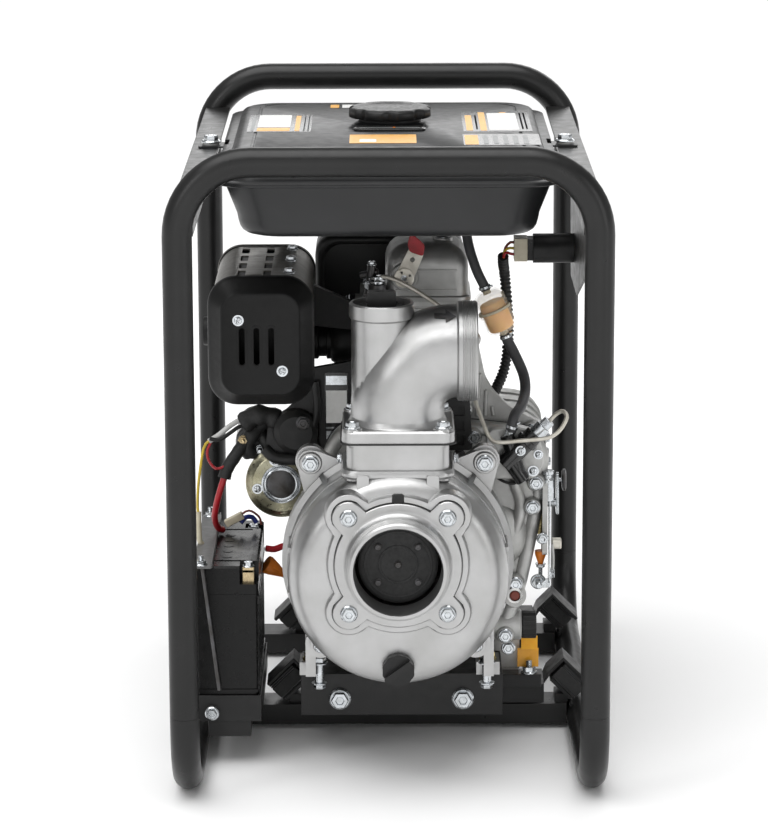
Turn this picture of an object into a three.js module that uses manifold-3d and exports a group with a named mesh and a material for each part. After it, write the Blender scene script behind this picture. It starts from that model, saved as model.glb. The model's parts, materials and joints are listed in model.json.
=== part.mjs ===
// Engine-driven trash pump in a tubular carry frame. Millimetres, +Z up.
// X runs across the pump, +Y runs from the pump end to the recoil end, Z = 0 is the floor.
import * as THREE from "three";
import { mergeVertices } from "three/addons/utils/BufferGeometryUtils.js";
import Module from "manifold-3d";

const wasm = await Module();
wasm.setup();

// ---------------------------------------------------------------- driving dimensions
const GAP = 0.3; // clearance left between two pieces that touch
const FRAME = {
  width: 506, // outside the tubes
  height: 770,
  hoopY: 370, // centre plane of each end hoop, in front of and behind the middle
  tube: 17, // tube radius
  wall: 2,
  bend: 83, // bend radius on the tube's centre line
  spliceZ: 110, // where a hoop's leg meets the upturned end of a runner
};
const POST_X = FRAME.width / 2 - FRAME.tube;
const BEAM = { low: 7, high: 32, depth: 50, frontY: -77, rearY: 231 };
const RAIL = { top: 714.5, drop: 48, thick: 3, outerX: 238, legX: 222, innerX: 206 };
const MOUNT = { leftX: -126, rightX: 222, z: 60, length: 40, thick: 24, width: 44, plate: 4 };
const MOUNT_Y = [BEAM.frontY + BEAM.depth / 2, BEAM.rearY + BEAM.depth / 2];
const CRADLE = { low: 36, high: 60, width: 66, leftX: -86, rightX: 190, plate: 4 };
const SHAFT = { x: 10, z: 262 }; // crankshaft axis, along Y
const PORT = { z: 285, radius: 57, bore: 50, face: -386, flangeFront: -357, bolt: 56.5 };
const CASING = { radius: 127.5, front: -345, boss: -352, rear: -232, ring: 136, wall: 15 };
const IMPELLER = { radius: 88, depth: 40 };
const EAR = { radius: 155, size: 18, angle: 49, thick: 14 };
const NECK = { halfX: 59, y0: -328, y1: -216, top: 421.5, bore: 42, boreY: -278, y: -272 };
const ELBOW = { z: 518.5, radius: 54, bore: 48, faceX: 102, ringX: 80, ring: 57, base: 14 };
const PRIME = { x: -8, radius: 35, top: 582, ring: 37.5 };
const TANK = { split: 717, halfX: 187, y0: -298, y1: 288, lip: 12, low: 657, high: 731, wall: 2.5 };
const CAP = { x: 2.5, y: 91, radius: 51.5, low: 739, high: 752, neck: 38 };
const BATTERY = { x0: -232.5, x1: -155.5, y0: -215, y1: 5, z0: 79.5, z1: 246.5 };
const MUFFLER = { x0: -210, x1: -87, z0: 446, z1: 597, front: -248, rear: 0, corner: 34 };
const HEAD = { x0: -35, x1: 97, y0: -60, y1: 70, low: 480, mid: 535, high: 606 };
const BORE = { x: 30, y: 5, radius: 43 };
const CASE = { front: -150, joint: -104, rear: 100, top: 398 };
const STARTER = { x: -130.5, z: 318, radius: 38, front: -100, rear: 55 };
const GEAR = { crankTeeth: 12, camTeeth: 24, camX: 85, camZ: 290, y0: -96, y1: -84 };
const SMOOTH = 20; // sides of a large round part
const ROUND = 12; // sides of a small round part

// ---------------------------------------------------------------- solids and booleans
function toSolid(geometry) {
  const bare = geometry.index ? geometry.toNonIndexed() : geometry.clone();
  bare.deleteAttribute("normal");
  bare.deleteAttribute("uv");
  const merged = mergeVertices(bare, 1e-3);
  const triVerts = new Uint32Array(merged.index.array);
  const vertProperties = merged.attributes.position.array;
  const made = new wasm.Manifold(new wasm.Mesh({ numProp: 3, vertProperties, triVerts }));
  if (made.volume() > 0) return made;
  for (let i = 0; i < triVerts.length; i += 3) {
    [triVerts[i + 1], triVerts[i + 2]] = [triVerts[i + 2], triVerts[i + 1]];
  }
  return new wasm.Manifold(new wasm.Mesh({ numProp: 3, vertProperties, triVerts }));
}

function toGeometry(solid) {
  const mesh = solid.getMesh();
  const geometry = new THREE.BufferGeometry();
  geometry.setAttribute("position", new THREE.BufferAttribute(mesh.vertProperties, mesh.numProp));
  geometry.setIndex(new THREE.BufferAttribute(mesh.triVerts, 1));
  geometry.computeVertexNormals();
  return geometry;
}

function join(...geometries) {
  return toGeometry(geometries.map(toSolid).reduce((sum, next) => sum.add(next)));
}

function cut(base, ...tools) {
  return toGeometry(tools.map(toSolid).reduce((left, tool) => left.subtract(tool), toSolid(base)));
}

// ---------------------------------------------------------------- basic shapes
function box(x0, y0, z0, x1, y1, z1) {
  const made = new THREE.BoxGeometry(x1 - x0, y1 - y0, z1 - z0);
  return made.translate((x0 + x1) / 2, (y0 + y1) / 2, (z0 + z1) / 2);
}

// Turns a shape made along +Y so that it runs along the named axis.
function alongAxis(geometry, axis) {
  if (axis === "x") return geometry.rotateZ(-Math.PI / 2);
  if (axis === "z") return geometry.rotateX(Math.PI / 2);
  return geometry;
}

// A round bar from one place to another along an axis; a and b are its other two coordinates.
function bar(axis, radius, from, to, a, b, sides = ROUND, endRadius = radius) {
  const made = new THREE.CylinderGeometry(endRadius, radius, to - from, sides);
  made.translate(0, (from + to) / 2, 0);
  alongAxis(made, axis);
  if (axis === "x") return made.translate(0, a, b);
  if (axis === "z") return made.translate(a, b, 0);
  return made.translate(a, 0, b);
}

// A bar between two points in space.
function strut(from, to, radius, sides = 8) {
  const start = new THREE.Vector3(...from);
  const way = new THREE.Vector3(...to).sub(start);
  const made = new THREE.CylinderGeometry(radius, radius, way.length(), sides);
  made.translate(0, way.length() / 2, 0);
  const turn = new THREE.Quaternion().setFromUnitVectors(new THREE.Vector3(0, 1, 0), way.normalize());
  return made.applyQuaternion(turn).translate(start.x, start.y, start.z);
}

// A turned part: the profile holds [radius, place along the axis] pairs.
function turned(axis, profile, a, b, sides = SMOOTH) {
  const made = new THREE.LatheGeometry(profile.map(([r, y]) => new THREE.Vector2(r, y)), sides);
  alongAxis(made, axis);
  if (axis === "x") return made.translate(0, a, b);
  if (axis === "z") return made.translate(a, b, 0);
  return made.translate(a, 0, b);
}

// A rectangle with round corners, as a list of [u, v] points.
function roundedOutline(u0, v0, u1, v1, radius, steps = 4) {
  const corners = [[u1 - radius, v1 - radius], [u0 + radius, v1 - radius],
    [u0 + radius, v0 + radius], [u1 - radius, v0 + radius]];
  return corners.flatMap(([u, v], corner) => Array.from({ length: steps + 1 }, (_, i) => {
    const angle = (corner + i / steps) * Math.PI / 2;
    return [u + radius * Math.cos(angle), v + radius * Math.sin(angle)];
  }));
}

// An outline swept along an axis: along x it is read as (y, z), along y as (x, z), along z as (x, y).
function plate(axis, outline, from, to) {
  const shape = new THREE.Shape(outline.map(([u, v]) => new THREE.Vector2(u, v)));
  const made = new THREE.ExtrudeGeometry(shape, { depth: to - from, bevelEnabled: false, steps: 1 });
  if (axis === "y") return made.translate(0, 0, -to).rotateX(Math.PI / 2);
  made.translate(0, 0, from);
  if (axis === "x") return made.rotateX(Math.PI / 2).rotateZ(Math.PI / 2);
  return made;
}

// A body through rounded rectangles, one above the other; each layer is {halfX, y0, y1, r, z}.
function stacked(layers) {
  const rings = layers.map((l) => roundedOutline(-l.halfX, l.y0, l.halfX, l.y1, l.r, 3)
    .map(([x, y]) => [x, y, l.z]));
  const count = rings[0].length;
  const index = [];
  for (let k = 0; k + 1 < rings.length; k += 1) {
    for (let i = 0; i < count; i += 1) {
      const j = (i + 1) % count;
      const [a, b, c, d] = [k * count + i, k * count + j, (k + 1) * count + j, (k + 1) * count + i];
      index.push(a, b, c, a, c, d);
    }
  }
  const last = (rings.length - 1) * count;
  for (let i = 1; i + 1 < count; i += 1) {
    index.push(0, i + 1, i);
    index.push(last, last + i, last + i + 1);
  }
  const made = new THREE.BufferGeometry();
  made.setAttribute("position", new THREE.Float32BufferAttribute(rings.flat(2), 3));
  made.setIndex(index);
  return made;
}

// ---------------------------------------------------------------- bent tubes
// A path through corner points, each inner corner rounded to the bend radius.
function bentPath(corners, bend, steps) {
  const points = corners.map((p) => new THREE.Vector3(...p));
  const path = [points[0]];
  for (let i = 1; i + 1 < points.length; i += 1) {
    const into = points[i].clone().sub(points[i - 1]).normalize();
    const out = points[i + 1].clone().sub(points[i]).normalize();
    const turn = into.angleTo(out);
    const reach = bend * Math.tan(turn / 2);
    const start = points[i].clone().addScaledVector(into, -reach);
    const side = out.clone().addScaledVector(into, -out.dot(into)).normalize();
    for (let k = 0; k <= steps; k += 1) {
      const angle = turn * k / steps;
      path.push(start.clone().addScaledVector(into, bend * Math.sin(angle))
        .addScaledVector(side, bend * (1 - Math.cos(angle))));
    }
  }
  path.push(points[points.length - 1]);
  return path;
}

// A curve that visits a list of points exactly, one per sweep step.
class PointCurve extends THREE.Curve {
  constructor(points) {
    super();
    this.points = points;
  }

  getPointAt(t) {
    return this.points[Math.round(t * (this.points.length - 1))].clone();
  }

  getTangentAt(t) {
    const i = Math.round(t * (this.points.length - 1));
    const before = this.points[Math.max(i - 1, 0)];
    const after = this.points[Math.min(i + 1, this.points.length - 1)];
    const here = this.points[i];
    const into = here.clone().sub(before).normalize();
    const out = after.clone().sub(here).normalize();
    return into.add(out).normalize();
  }
}

// A regular polygon whose flats touch a circle of the given radius.
function polygon(radius, sides) {
  const reach = radius / Math.cos(Math.PI / sides);
  return Array.from({ length: sides }, (_, i) => {
    const angle = (i + 0.5) * 2 * Math.PI / sides;
    return new THREE.Vector2(reach * Math.cos(angle), reach * Math.sin(angle));
  });
}

// A tube, or a solid bar when it has no bore, along a path of points.
function swept(points, radius, sides, bore = 0) {
  const section = new THREE.Shape(polygon(radius, sides));
  if (bore > 0) section.holes.push(new THREE.Path(polygon(bore, 8)));
  const extrudePath = new PointCurve(points);
  return new THREE.ExtrudeGeometry(section, { steps: points.length - 1, extrudePath, bevelEnabled: false });
}

// A flexible hose or wire: a smooth curve through the points, with a straight first and last stretch.
function hose(points, radius, steps, sides = 8) {
  const places = points.map((p) => new THREE.Vector3(...p));
  const curve = new THREE.CatmullRomCurve3(places.slice(1, -1));
  return swept([places[0], ...curve.getSpacedPoints(steps), places[places.length - 1]], radius, sides);
}

// ---------------------------------------------------------------- the assembly
const pump = new THREE.Group();

function add(name, geometry, colour, roughness, metalness) {
  const material = new THREE.MeshStandardMaterial({ color: colour, roughness, metalness });
  const mesh = new THREE.Mesh(join(geometry), material);
  mesh.name = name;
  pump.add(mesh);
}

const addBlackPaint = (name, geometry) => add(name, geometry, 0x1d1d1f, 0.45, 0.2);
const addAluminium = (name, geometry) => add(name, geometry, 0xb4b4b2, 0.4, 0.9);
const addSteel = (name, geometry) => add(name, geometry, 0xa8acae, 0.3, 1);
const addRubber = (name, geometry) => add(name, geometry, 0x131313, 0.8, 0);
const addPlastic = (name, geometry) => add(name, geometry, 0x101010, 0.5, 0);

// ---------------------------------------------------------------- frame
function hoopTube(y) {
  const top = FRAME.height - FRAME.tube;
  const foot = FRAME.spliceZ + GAP / 2;
  const corners = [[-POST_X, y, foot], [-POST_X, y, top], [POST_X, y, top], [POST_X, y, foot]];
  return swept(bentPath(corners, FRAME.bend, 6), FRAME.tube, 12, FRAME.tube - FRAME.wall);
}

function runnerTube(x) {
  const foot = FRAME.spliceZ - GAP / 2;
  const y = FRAME.hoopY;
  const corners = [[x, -y, foot], [x, -y, FRAME.tube], [x, y, FRAME.tube], [x, y, foot]];
  return swept(bentPath(corners, FRAME.bend, 6), FRAME.tube, 12, FRAME.tube - FRAME.wall);
}

// A point in a mount's own frame: along its plates (down and outwards) and across them.
function mountPoint(x, side, along, across) {
  const step = Math.SQRT1_2;
  return [x + side * step * (along + across), MOUNT.z + step * (across - along)];
}

function mountPlate(x, side, from, to, low, high) {
  return [mountPoint(x, side, from, low), mountPoint(x, side, to, low),
    mountPoint(x, side, to, high), mountPoint(x, side, from, high)];
}

function mountOutline(x, side) {
  const half = MOUNT.length / 2;
  return mountPlate(x, side, -half, half, -MOUNT.thick / 2, MOUNT.thick / 2);
}

// The cross-member carries one tab for each rubber mount, welded to its top face.
function crossMember(y0) {
  const end = POST_X - FRAME.tube - GAP;
  const y1 = y0 + BEAM.depth;
  const wall = 3;
  const beam = cut(
    box(-end, y0, BEAM.low, end, y1, BEAM.high),
    box(-end - 1, y0 + wall, BEAM.low + wall, end + 1, y1 - wall, BEAM.high - wall),
  );
  const middle = (y0 + y1) / 2;
  const tabs = [[MOUNT.leftX, -1], [MOUNT.rightX, 1]].map(([x, side]) => {
    const inner = -MOUNT.thick / 2 - GAP;
    const outline = mountPlate(x, side, -MOUNT.length / 2 + 2, MOUNT.length / 2 - 3,
      inner - MOUNT.plate, inner);
    return plate("y", outline, middle - MOUNT.width / 2, middle + MOUNT.width / 2);
  });
  const feet = [[MOUNT.leftX, -1], [MOUNT.rightX, 1]].map(([x, side]) => {
    const near = x - side * 18;
    const far = x - side * 2;
    return box(Math.min(near, far), middle - 15, BEAM.high - 1, Math.max(near, far), middle + 15, 42);
  });
  return join(beam, ...tabs, ...feet);
}

function sideRail(side) {
  const end = FRAME.hoopY - FRAME.tube - GAP;
  const low = RAIL.top - RAIL.drop;
  const across = (x0, x1, z0, z1) => box(Math.min(side * x0, side * x1), -end, z0,
    Math.max(side * x0, side * x1), end, z1);
  const flange = across(RAIL.innerX, RAIL.outerX, RAIL.top - RAIL.thick, RAIL.top);
  const leg = across(RAIL.legX - RAIL.thick, RAIL.legX, low, RAIL.top - RAIL.thick / 2);
  return join(flange, leg);
}

addBlackPaint("front_hoop", hoopTube(-FRAME.hoopY));
addBlackPaint("rear_hoop", hoopTube(FRAME.hoopY));
addBlackPaint("runner_left", runnerTube(-POST_X));
addBlackPaint("runner_right", runnerTube(POST_X));
addBlackPaint("cross_member_front", crossMember(BEAM.frontY));
addBlackPaint("cross_member_rear", crossMember(BEAM.rearY));
addBlackPaint("side_rail_left", sideRail(-1));
addBlackPaint("side_rail_right", sideRail(1));

// ---------------------------------------------------------------- rubber mounts and engine support
for (const [end, y] of [["front", MOUNT_Y[0]], ["rear", MOUNT_Y[1]]]) {
  for (const [hand, x, side] of [["left", MOUNT.leftX, -1], ["right", MOUNT.rightX, 1]]) {
    const half = MOUNT.width / 2;
    addRubber(`rubber_mount_${end}_${hand}`, plate("y", mountOutline(x, side), y - half, y + half));
  }
}

// A bent strap at each end of the cradle wraps over its rubber mount.
function cradle(y) {
  const { low, high, leftX, rightX, plate: thick } = CRADLE;
  const y0 = y - CRADLE.width / 2;
  const y1 = y + CRADLE.width / 2;
  const channel = cut(
    box(leftX, y0, low, rightX, y1, high),
    box(leftX - 1, y0 + thick, low - 1, rightX + 1, y1 - thick, high - thick),
  );
  const straps = [[MOUNT.leftX, -1, leftX], [MOUNT.rightX, 1, rightX]].flatMap(([x, side, end]) => {
    const outer = MOUNT.thick / 2 + GAP;
    const half = MOUNT.width / 2;
    const top = -MOUNT.length / 2 - 3;
    const cap = mountPlate(x, side, top - thick, MOUNT.length / 2, outer, outer + thick);
    const arm = [[end - side * 8, high - thick], [end, high - thick], mountPoint(x, side, top, -10),
      mountPoint(x, side, top, outer + 1), mountPoint(x, side, top - thick, outer + 1),
      mountPoint(x, side, top - thick, -12), [end, high], [end - side * 8, high]];
    return [plate("y", cap, y - half, y + half), plate("y", arm, y - half, y + half)];
  });
  return join(channel, ...straps);
}

addBlackPaint("cradle_front", cradle(MOUNT_Y[0]));
addBlackPaint("cradle_rear", cradle(MOUNT_Y[1] - 20));

// Inverted channel that carries the pump's feet, bolted to the front of the cradle.
const BRACKET = { x0: -107, x1: 136, y0: -180, y1: MOUNT_Y[0] - CRADLE.width / 2 - GAP, low: 51, high: 103 };

function pumpBracket() {
  const { x0, x1, y0, y1, low, high } = BRACKET;
  const wall = 4;
  const channel = cut(
    box(x0, y0, low, x1, y1, high),
    box(x0 - 1, y0 + wall, low - 1, x1 + 1, y1 - wall, high - wall),
  );
  const nuts = [-60, 88].map((x) => bar("y", 9, y0 - 8, y0 + 1, x, 72, 6));
  return join(channel, ...nuts);
}

addBlackPaint("pump_bracket", pumpBracket());

// ---------------------------------------------------------------- fuel tank
function tankLower() {
  const { halfX, y0, y1, lip, low, wall, split } = TANK;
  const shell = (inset) => stacked([
    { halfX: halfX - 34 - inset, y0: y0 + 40 + inset, y1: y1 - 40 - inset, r: 30, z: low + inset },
    { halfX: halfX - 22 - inset, y0: y0 + 22 + inset, y1: y1 - 22 - inset, r: 38, z: low + 10 + inset },
    { halfX: halfX - inset, y0: y0 + inset, y1: y1 - inset, r: 44, z: split + (inset ? 1 : 0) },
  ]);
  const flange = plate("z", roundedOutline(-halfX - lip, y0 - lip, halfX + lip, y1 + lip, 50),
    split - 2.2, split);
  const ears = [-1, 1].flatMap((side) => [
    box(side * 212 - 18, -8, split - 2.2, side * 212 + 18, 28, split),
    bar("z", 10, split - 1, split + 2, side * 215, 10, 12),
    bar("z", 7.5, split + 1, split + 9, side * 215, 10, 6),
  ]);
  return cut(join(shell(0), flange, ...ears), shell(wall));
}

function tankUpper() {
  const { halfX, y0, y1, lip, high, wall, split } = TANK;
  const low = split + GAP;
  const shell = (inset) => stacked([
    { halfX: halfX - inset, y0: y0 + inset, y1: y1 - inset, r: 44, z: low - (inset ? 1 : 0) },
    { halfX: halfX - 3 - inset, y0: y0 + 3 + inset, y1: y1 - 3 - inset, r: 44, z: high - 7 - inset },
    { halfX: halfX - 14 - inset, y0: y0 + 14 + inset, y1: y1 - 14 - inset, r: 38, z: high - inset },
  ]);
  const flange = plate("z", roundedOutline(-halfX - lip, y0 - lip, halfX + lip, y1 + lip, 50),
    low, low + 2.2);
  const spout = bar("z", CAP.neck, high - 2, CAP.low - GAP, CAP.x, CAP.y, 24);
  const gauge = plate("z", roundedOutline(-40, 3, 47, 37, 8, 3), high - 1, high + 4);
  const mouth = bar("z", CAP.neck - 4, high - 20, CAP.low + 5, CAP.x, CAP.y, 24);
  const notches = [-1, 1].map((side) => box(side * 212 - 19, -9, low - 1, side * 212 + 19, 29, low + 12));
  return cut(join(shell(0), flange, spout, gauge), shell(wall), mouth, ...notches);
}

function fuelCap() {
  const { x, y, radius, low, high, neck } = CAP;
  const grips = Array.from({ length: 8 }, (_, i) => {
    const angle = (i + 0.5) * Math.PI / 4;
    return bar("z", 13, low - 1, high + 1, x + (radius + 7) * Math.cos(angle),
      y + (radius + 7) * Math.sin(angle), 10);
  });
  const outline = [[0, low], [radius, low], [radius, high - 4], [radius - 5, high], [0, high]];
  const disc = turned("z", outline, x, y, 32);
  const plug = bar("z", neck - 4 - GAP, low - 12, low + 1, x, y, 24);
  return cut(join(disc, plug), ...grips);
}

addPlastic("tank_lower_shell", tankLower());
addPlastic("tank_upper_shell", tankUpper());
addPlastic("fuel_cap", fuelCap());

// ---------------------------------------------------------------- crankcase and running gear
const CASE_OUTLINE = [[-86, 128], [138, 128], [162, 190], [184, 300], [190, 372], [168, 392],
  [96, 400], [-60, 400], [-86, 350]];

function scaledOutline(outline, scale) {
  return outline.map(([u, v]) => [SHAFT.x + (u - SHAFT.x) * scale, SHAFT.z + (v - SHAFT.z) * scale]);
}

// Housing open at the front for the cover, with a bore on top for the cylinder and two foot rails.
function crankcase() {
  const rails = [[-78, -46], [128, 160]].flatMap(([x0, x1]) => [
    box(x0, -80, CRADLE.high + GAP, x1, 245, 76),
    box(x0, -70, 75, x1, 80, 135),
  ]);
  const body = join(plate("y", CASE_OUTLINE, CASE.joint + GAP, CASE.rear), ...rails);
  return cut(
    body,
    plate("y", scaledOutline(CASE_OUTLINE, 0.88), CASE.joint - 1, CASE.rear - 12),
    bar("y", 18.2, CASE.rear - 20, CASE.rear + 5, SHAFT.x, SHAFT.z, ROUND),
    bar("y", 10.6, CASE.rear - 20, CASE.rear - 6, GEAR.camX, GEAR.camZ, ROUND),
    bar("z", BORE.radius + 0.5, 370, 410, BORE.x, BORE.y, 24),
  );
}

function crankcaseCover() {
  const bolts = [[176, 330], [172, 300], [152, 205], [-72, 350], [-72, 150], [140, 140]];
  const bosses = bolts.map(([x, z]) => bar("y", 11, CASE.front + 8, CASE.joint, x, z, 8));
  const heads = bolts.map(([x, z]) => bar("y", 7, CASE.front, CASE.front + 10, x, z, 6));
  const plugs = [
    bar("x", 15, 140, 172, CASE.joint - 16, 158, ROUND),
    bar("x", 17, 170, 180, CASE.joint - 16, 158, ROUND),
  ];
  const body = join(
    speedBracket(),
    plate("y", CASE_OUTLINE, CASE.front + 14, CASE.joint),
    bar("y", 78, CASE.front, CASE.front + 15, SHAFT.x, SHAFT.z, SMOOTH),
    ...bosses, ...heads, ...plugs,
  );
  return cut(
    body,
    plate("y", scaledOutline(CASE_OUTLINE, 0.86), CASE.joint - 24, CASE.joint + 1),
    bar("y", 18.2, CASE.front - 5, CASE.joint, SHAFT.x, SHAFT.z, ROUND),
    bar("y", 10.6, CASE.joint - 30, CASE.joint, GEAR.camX, GEAR.camZ, ROUND),
  );
}

// Turned shaft with two round webs, the crank pin and the drive gear of the camshaft.
function crankshaft() {
  const { x, z } = SHAFT;
  const nose = CASING.rear + 2 - IMPELLER.depth - 12;
  const stub = [[0, nose], [12.5, nose], [12.5, -158], [17.5, -157], [17.5, -60], [0, -60]];
  const tail = [[0, 10], [17.5, 10], [17.5, 112], [14, 113], [14, 186], [0, 186]];
  const front = turned("y", stub, x, z, ROUND);
  const rear = turned("y", tail, x, z, ROUND);
  return join(
    front,
    rear,
    bar("y", 55, -61, -41, x, z, 24),
    bar("y", 55, -5, 15, x, z, 24),
    bar("y", 18, -42, -4, x, z + 35, ROUND),
    plate("y", gearOutline(GEAR.crankTeeth, 29.5, 21.5, 0, x, z), GEAR.y0, GEAR.y1),
  );
}

// Straight tapered teeth: four points a tooth.
function gearOutline(teeth, outer, root, phase, x, z) {
  const corners = [[-0.26, root], [-0.12, outer], [0.12, outer], [0.26, root]];
  return Array.from({ length: teeth }, (_, i) => corners.map(([part, r]) => {
    const angle = (i + part + phase) * 2 * Math.PI / teeth;
    return [x + r * Math.cos(angle), z + r * Math.sin(angle)];
  })).flat();
}

// The line between the two shafts sets the phase: a crank tooth meets a gap of the cam gear.
function camshaft() {
  const { camX, camZ, y0, y1, camTeeth } = GEAR;
  const lobes = [[-40, 5], [30, -5]].map(
    ([y, lift]) => bar("y", 15, y, y + 14, camX + lift, camZ + 4, ROUND),
  );
  return join(
    bar("y", 10, CASE.joint - 26, CASE.rear - 7, camX, camZ, ROUND),
    plate("y", gearOutline(camTeeth, 56, 48, camPhase(), camX, camZ), y0, y1),
    ...lobes,
  );
}

function camPhase() {
  const { crankTeeth, camTeeth, camX, camZ } = GEAR;
  const line = Math.atan2(camZ - SHAFT.z, camX - SHAFT.x);
  const crankPhase = line * crankTeeth / (2 * Math.PI);
  const gearPhase = (line + Math.PI) * camTeeth / (2 * Math.PI);
  return gearPhase + crankPhase + 0.5;
}

function flywheel() {
  const { x, z } = SHAFT;
  const disc = turned("y", [[14.4, 128], [120, 128], [120, 150], [112, 152], [112, 158],
    [30, 158], [30, 178], [14.4, 178], [14.4, 128]], x, z, 16);
  const blades = Array.from({ length: 8 }, (_, i) => {
    const blade = box(62, 157, -2, 110, 180, 2);
    return blade.rotateY(i * Math.PI / 4).translate(x, 0, z);
  });
  return join(disc, ...blades);
}

function piston() {
  const { x, y, radius } = BORE;
  return cut(
    bar("z", radius - 0.6, 420, 476, x, y, 16),
    bar("z", radius - 9, 410, 462, x, y, 8),
  );
}

addAluminium("crankcase", crankcase());
addAluminium("crankcase_cover", crankcaseCover());
addSteel("crankshaft", crankshaft());
addSteel("camshaft", camshaft());
add("flywheel", flywheel(), 0x55585a, 0.5, 0.8);
addAluminium("piston", piston());

// ---------------------------------------------------------------- cylinder and head
function cylinder() {
  const { x, y, radius } = BORE;
  const fins = Array.from({ length: 5 }, (_, i) => {
    const z = 412 + i * 14;
    return box(HEAD.x0, HEAD.y0, z, HEAD.x1, HEAD.y1, z + 3);
  });
  const low = CASE.top + 2 + GAP;
  return cut(
    join(bar("z", 55, low, HEAD.low - GAP, x, y, 12), ...fins),
    bar("z", radius, low - 1, HEAD.low + 1, x, y, 16),
  );
}

function cylinderHead() {
  const { x0, x1, y0, y1, low, mid } = HEAD;
  const block = cut(
    box(x0, y0, low, x1, y1, mid),
    ...[493, 506, 519].map((z) => box(x0 - 1, y0 - 1, z, x0 + 14, y1 + 1, z + 5)),
  );
  const nut = bar("z", 9, mid - 1, mid + 8, x0 + 12, y1 - 10, 6);
  const port = box(x0 - 6, -12, 488, x0 + 3, 28, 528);
  return cut(join(block, port, nut), bar("x", 13, x0 - 10, x0 + 20, 8, 508, ROUND));
}

function rockerCover() {
  const x0 = -4;
  const x1 = HEAD.x1;
  const low = HEAD.mid + GAP;
  const dome = stacked([
    { halfX: (x1 - x0) / 2, y0: HEAD.y0, y1: HEAD.y1 - 20, r: 16, z: low },
    { halfX: (x1 - x0) / 2, y0: HEAD.y0, y1: HEAD.y1 - 20, r: 16, z: low + 44 },
    { halfX: (x1 - x0) / 2 - 12, y0: HEAD.y0 + 12, y1: HEAD.y1 - 32, r: 12, z: HEAD.high },
  ]).translate((x0 + x1) / 2, 0, 0);
  const boss = bar("y", 16, HEAD.y0 - 6, HEAD.y0 + 8, 19, 566, ROUND);
  const bolt = bar("z", 7, HEAD.high - 2, HEAD.high + 7, 66, -12, 6);
  return cut(join(dome, boss, bolt), bar("y", 5, HEAD.y0 - 8, HEAD.y0 + 2, 19, 566, ROUND));
}

// Flat lever with a round hub on a short pivot pin.
function decompressionLever() {
  const y1 = HEAD.y0 - 6 - GAP;
  const arm = [[8, 563], [12, 556], [26, 556], [30, 563], [44, 600], [42, 616], [26, 618], [22, 603]];
  return join(
    plate("y", arm, y1 - 3.5, y1),
    bar("y", 12, y1 - 4.5, y1, 19, 566, ROUND),
    bar("y", 4.6, y1 - 1, HEAD.y0 + 1, 19, 566, ROUND),
  );
}

addAluminium("cylinder", cylinder());
addAluminium("cylinder_head", cylinderHead());
addAluminium("rocker_cover", rockerCover());
add("decompression_lever", decompressionLever(), 0xb8b4a8, 0.4, 0.8);

// ---------------------------------------------------------------- exhaust and intake
function roundedBox(x0, z0, x1, z1, radius, y0, y1) {
  return plate("y", roundedOutline(x0, z0, x1, z1, radius, 3), y0, y1);
}

// Can with an outlet stub on its left side and a pipe flange on its right.
function mufflerBody() {
  const { x0, x1, z0, z1, rear } = MUFFLER;
  const [a, b, c, d] = [x0 + 9, z0 + 9, x1 - 9, z1 - 9];
  const can = roundedBox(a, b, c, d, 26, -214, rear - 4);
  const stub = bar("x", 17, x0 - 9, a + 3, -150, 518, ROUND);
  const inside = roundedBox(a + 3, b + 3, c - 3, d - 3, 23, -211, rear - 7);
  return cut(join(can, stub, exhaustPipe()), inside, bar("x", 14, x0 - 12, a + 10, -150, 518, ROUND));
}

function mufflerFrontCover() {
  const { x0, x1, z0, z1, front, corner } = MUFFLER;
  const back = front + 30;
  const pan = join(
    roundedBox(x0, z0, x1, z1, corner, front + 10, back),
    roundedBox(x0 + 12, z0 + 14, x1 - 12, z1 - 14, corner - 6, front, front + 12),
  );
  const slots = [-170, -153, -136].map((x) => roundedBox(x - 3, 497, x + 3, 541, 2.9, front - 1, front + 4));
  const screws = [[-175, 547], [-123, 487]].map(([x, z]) => bar("y", 6.5, front - 3, front + 2, x, z, 10));
  const hollow = roundedBox(x0 + 3, z0 + 3, x1 - 3, z1 - 3, corner - 3, front + 13, back + 1);
  return join(cut(pan, hollow, ...slots), ...screws);
}

// Bent sheet around the can with two rows of four cooling holes in its top.
function mufflerHeatShield() {
  const { x0, x1, z0, z1, front, rear, corner } = MUFFLER;
  const [a, b, c, d] = [x0 + 3, z0 + 3, x1 - 3, z1 - 3];
  const y0 = front + 30 + GAP;
  const sheet = cut(
    roundedBox(a, b, c, d, corner - 3, y0, rear),
    roundedBox(a + 2, b + 2, c - 2, d - 2, corner - 5, y0 - 1, rear + 1),
    box(a - 1, -172, 496, a + 3, -128, 540),
    box(c - 3, -60, 480, c + 1, rear + 1, 540),
  );
  const holes = [-172, -142].flatMap((x) => [-200, -150, -100, -50].map(
    (y) => box(x - 6, y, d - 4, x + 6, y + 30, d + 1),
  ));
  return cut(sheet, ...holes);
}

function exhaustPipe() {
  const start = MUFFLER.x1 - 11;
  const end = HEAD.x0 - 6 - GAP;
  const path = bentPath([[start, -30, 508], [-68, -30, 508], [-68, 8, 508], [end, 8, 508]], 14, 3);
  const flange = box(end - 6, -10, 490, end, 26, 526);
  return join(swept(path, 12, 10), flange);
}

// Rounded plastic box behind the head, with its intake opening on the left side.
function airCleaner() {
  const outer = roundedBox(-91, 466, 94, 592, 26, 78, 172);
  const inner = roundedBox(-87, 470, 90, 588, 22, 82, 168);
  return cut(outer, inner, box(-95, 100, 505, -80, 150, 550));
}

addBlackPaint("muffler_body", mufflerBody());
addBlackPaint("muffler_front_cover", mufflerFrontCover());
add("muffler_heat_shield", mufflerHeatShield(), 0x8d8b88, 0.35, 0.9);
addPlastic("air_cleaner", airCleaner());

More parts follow.
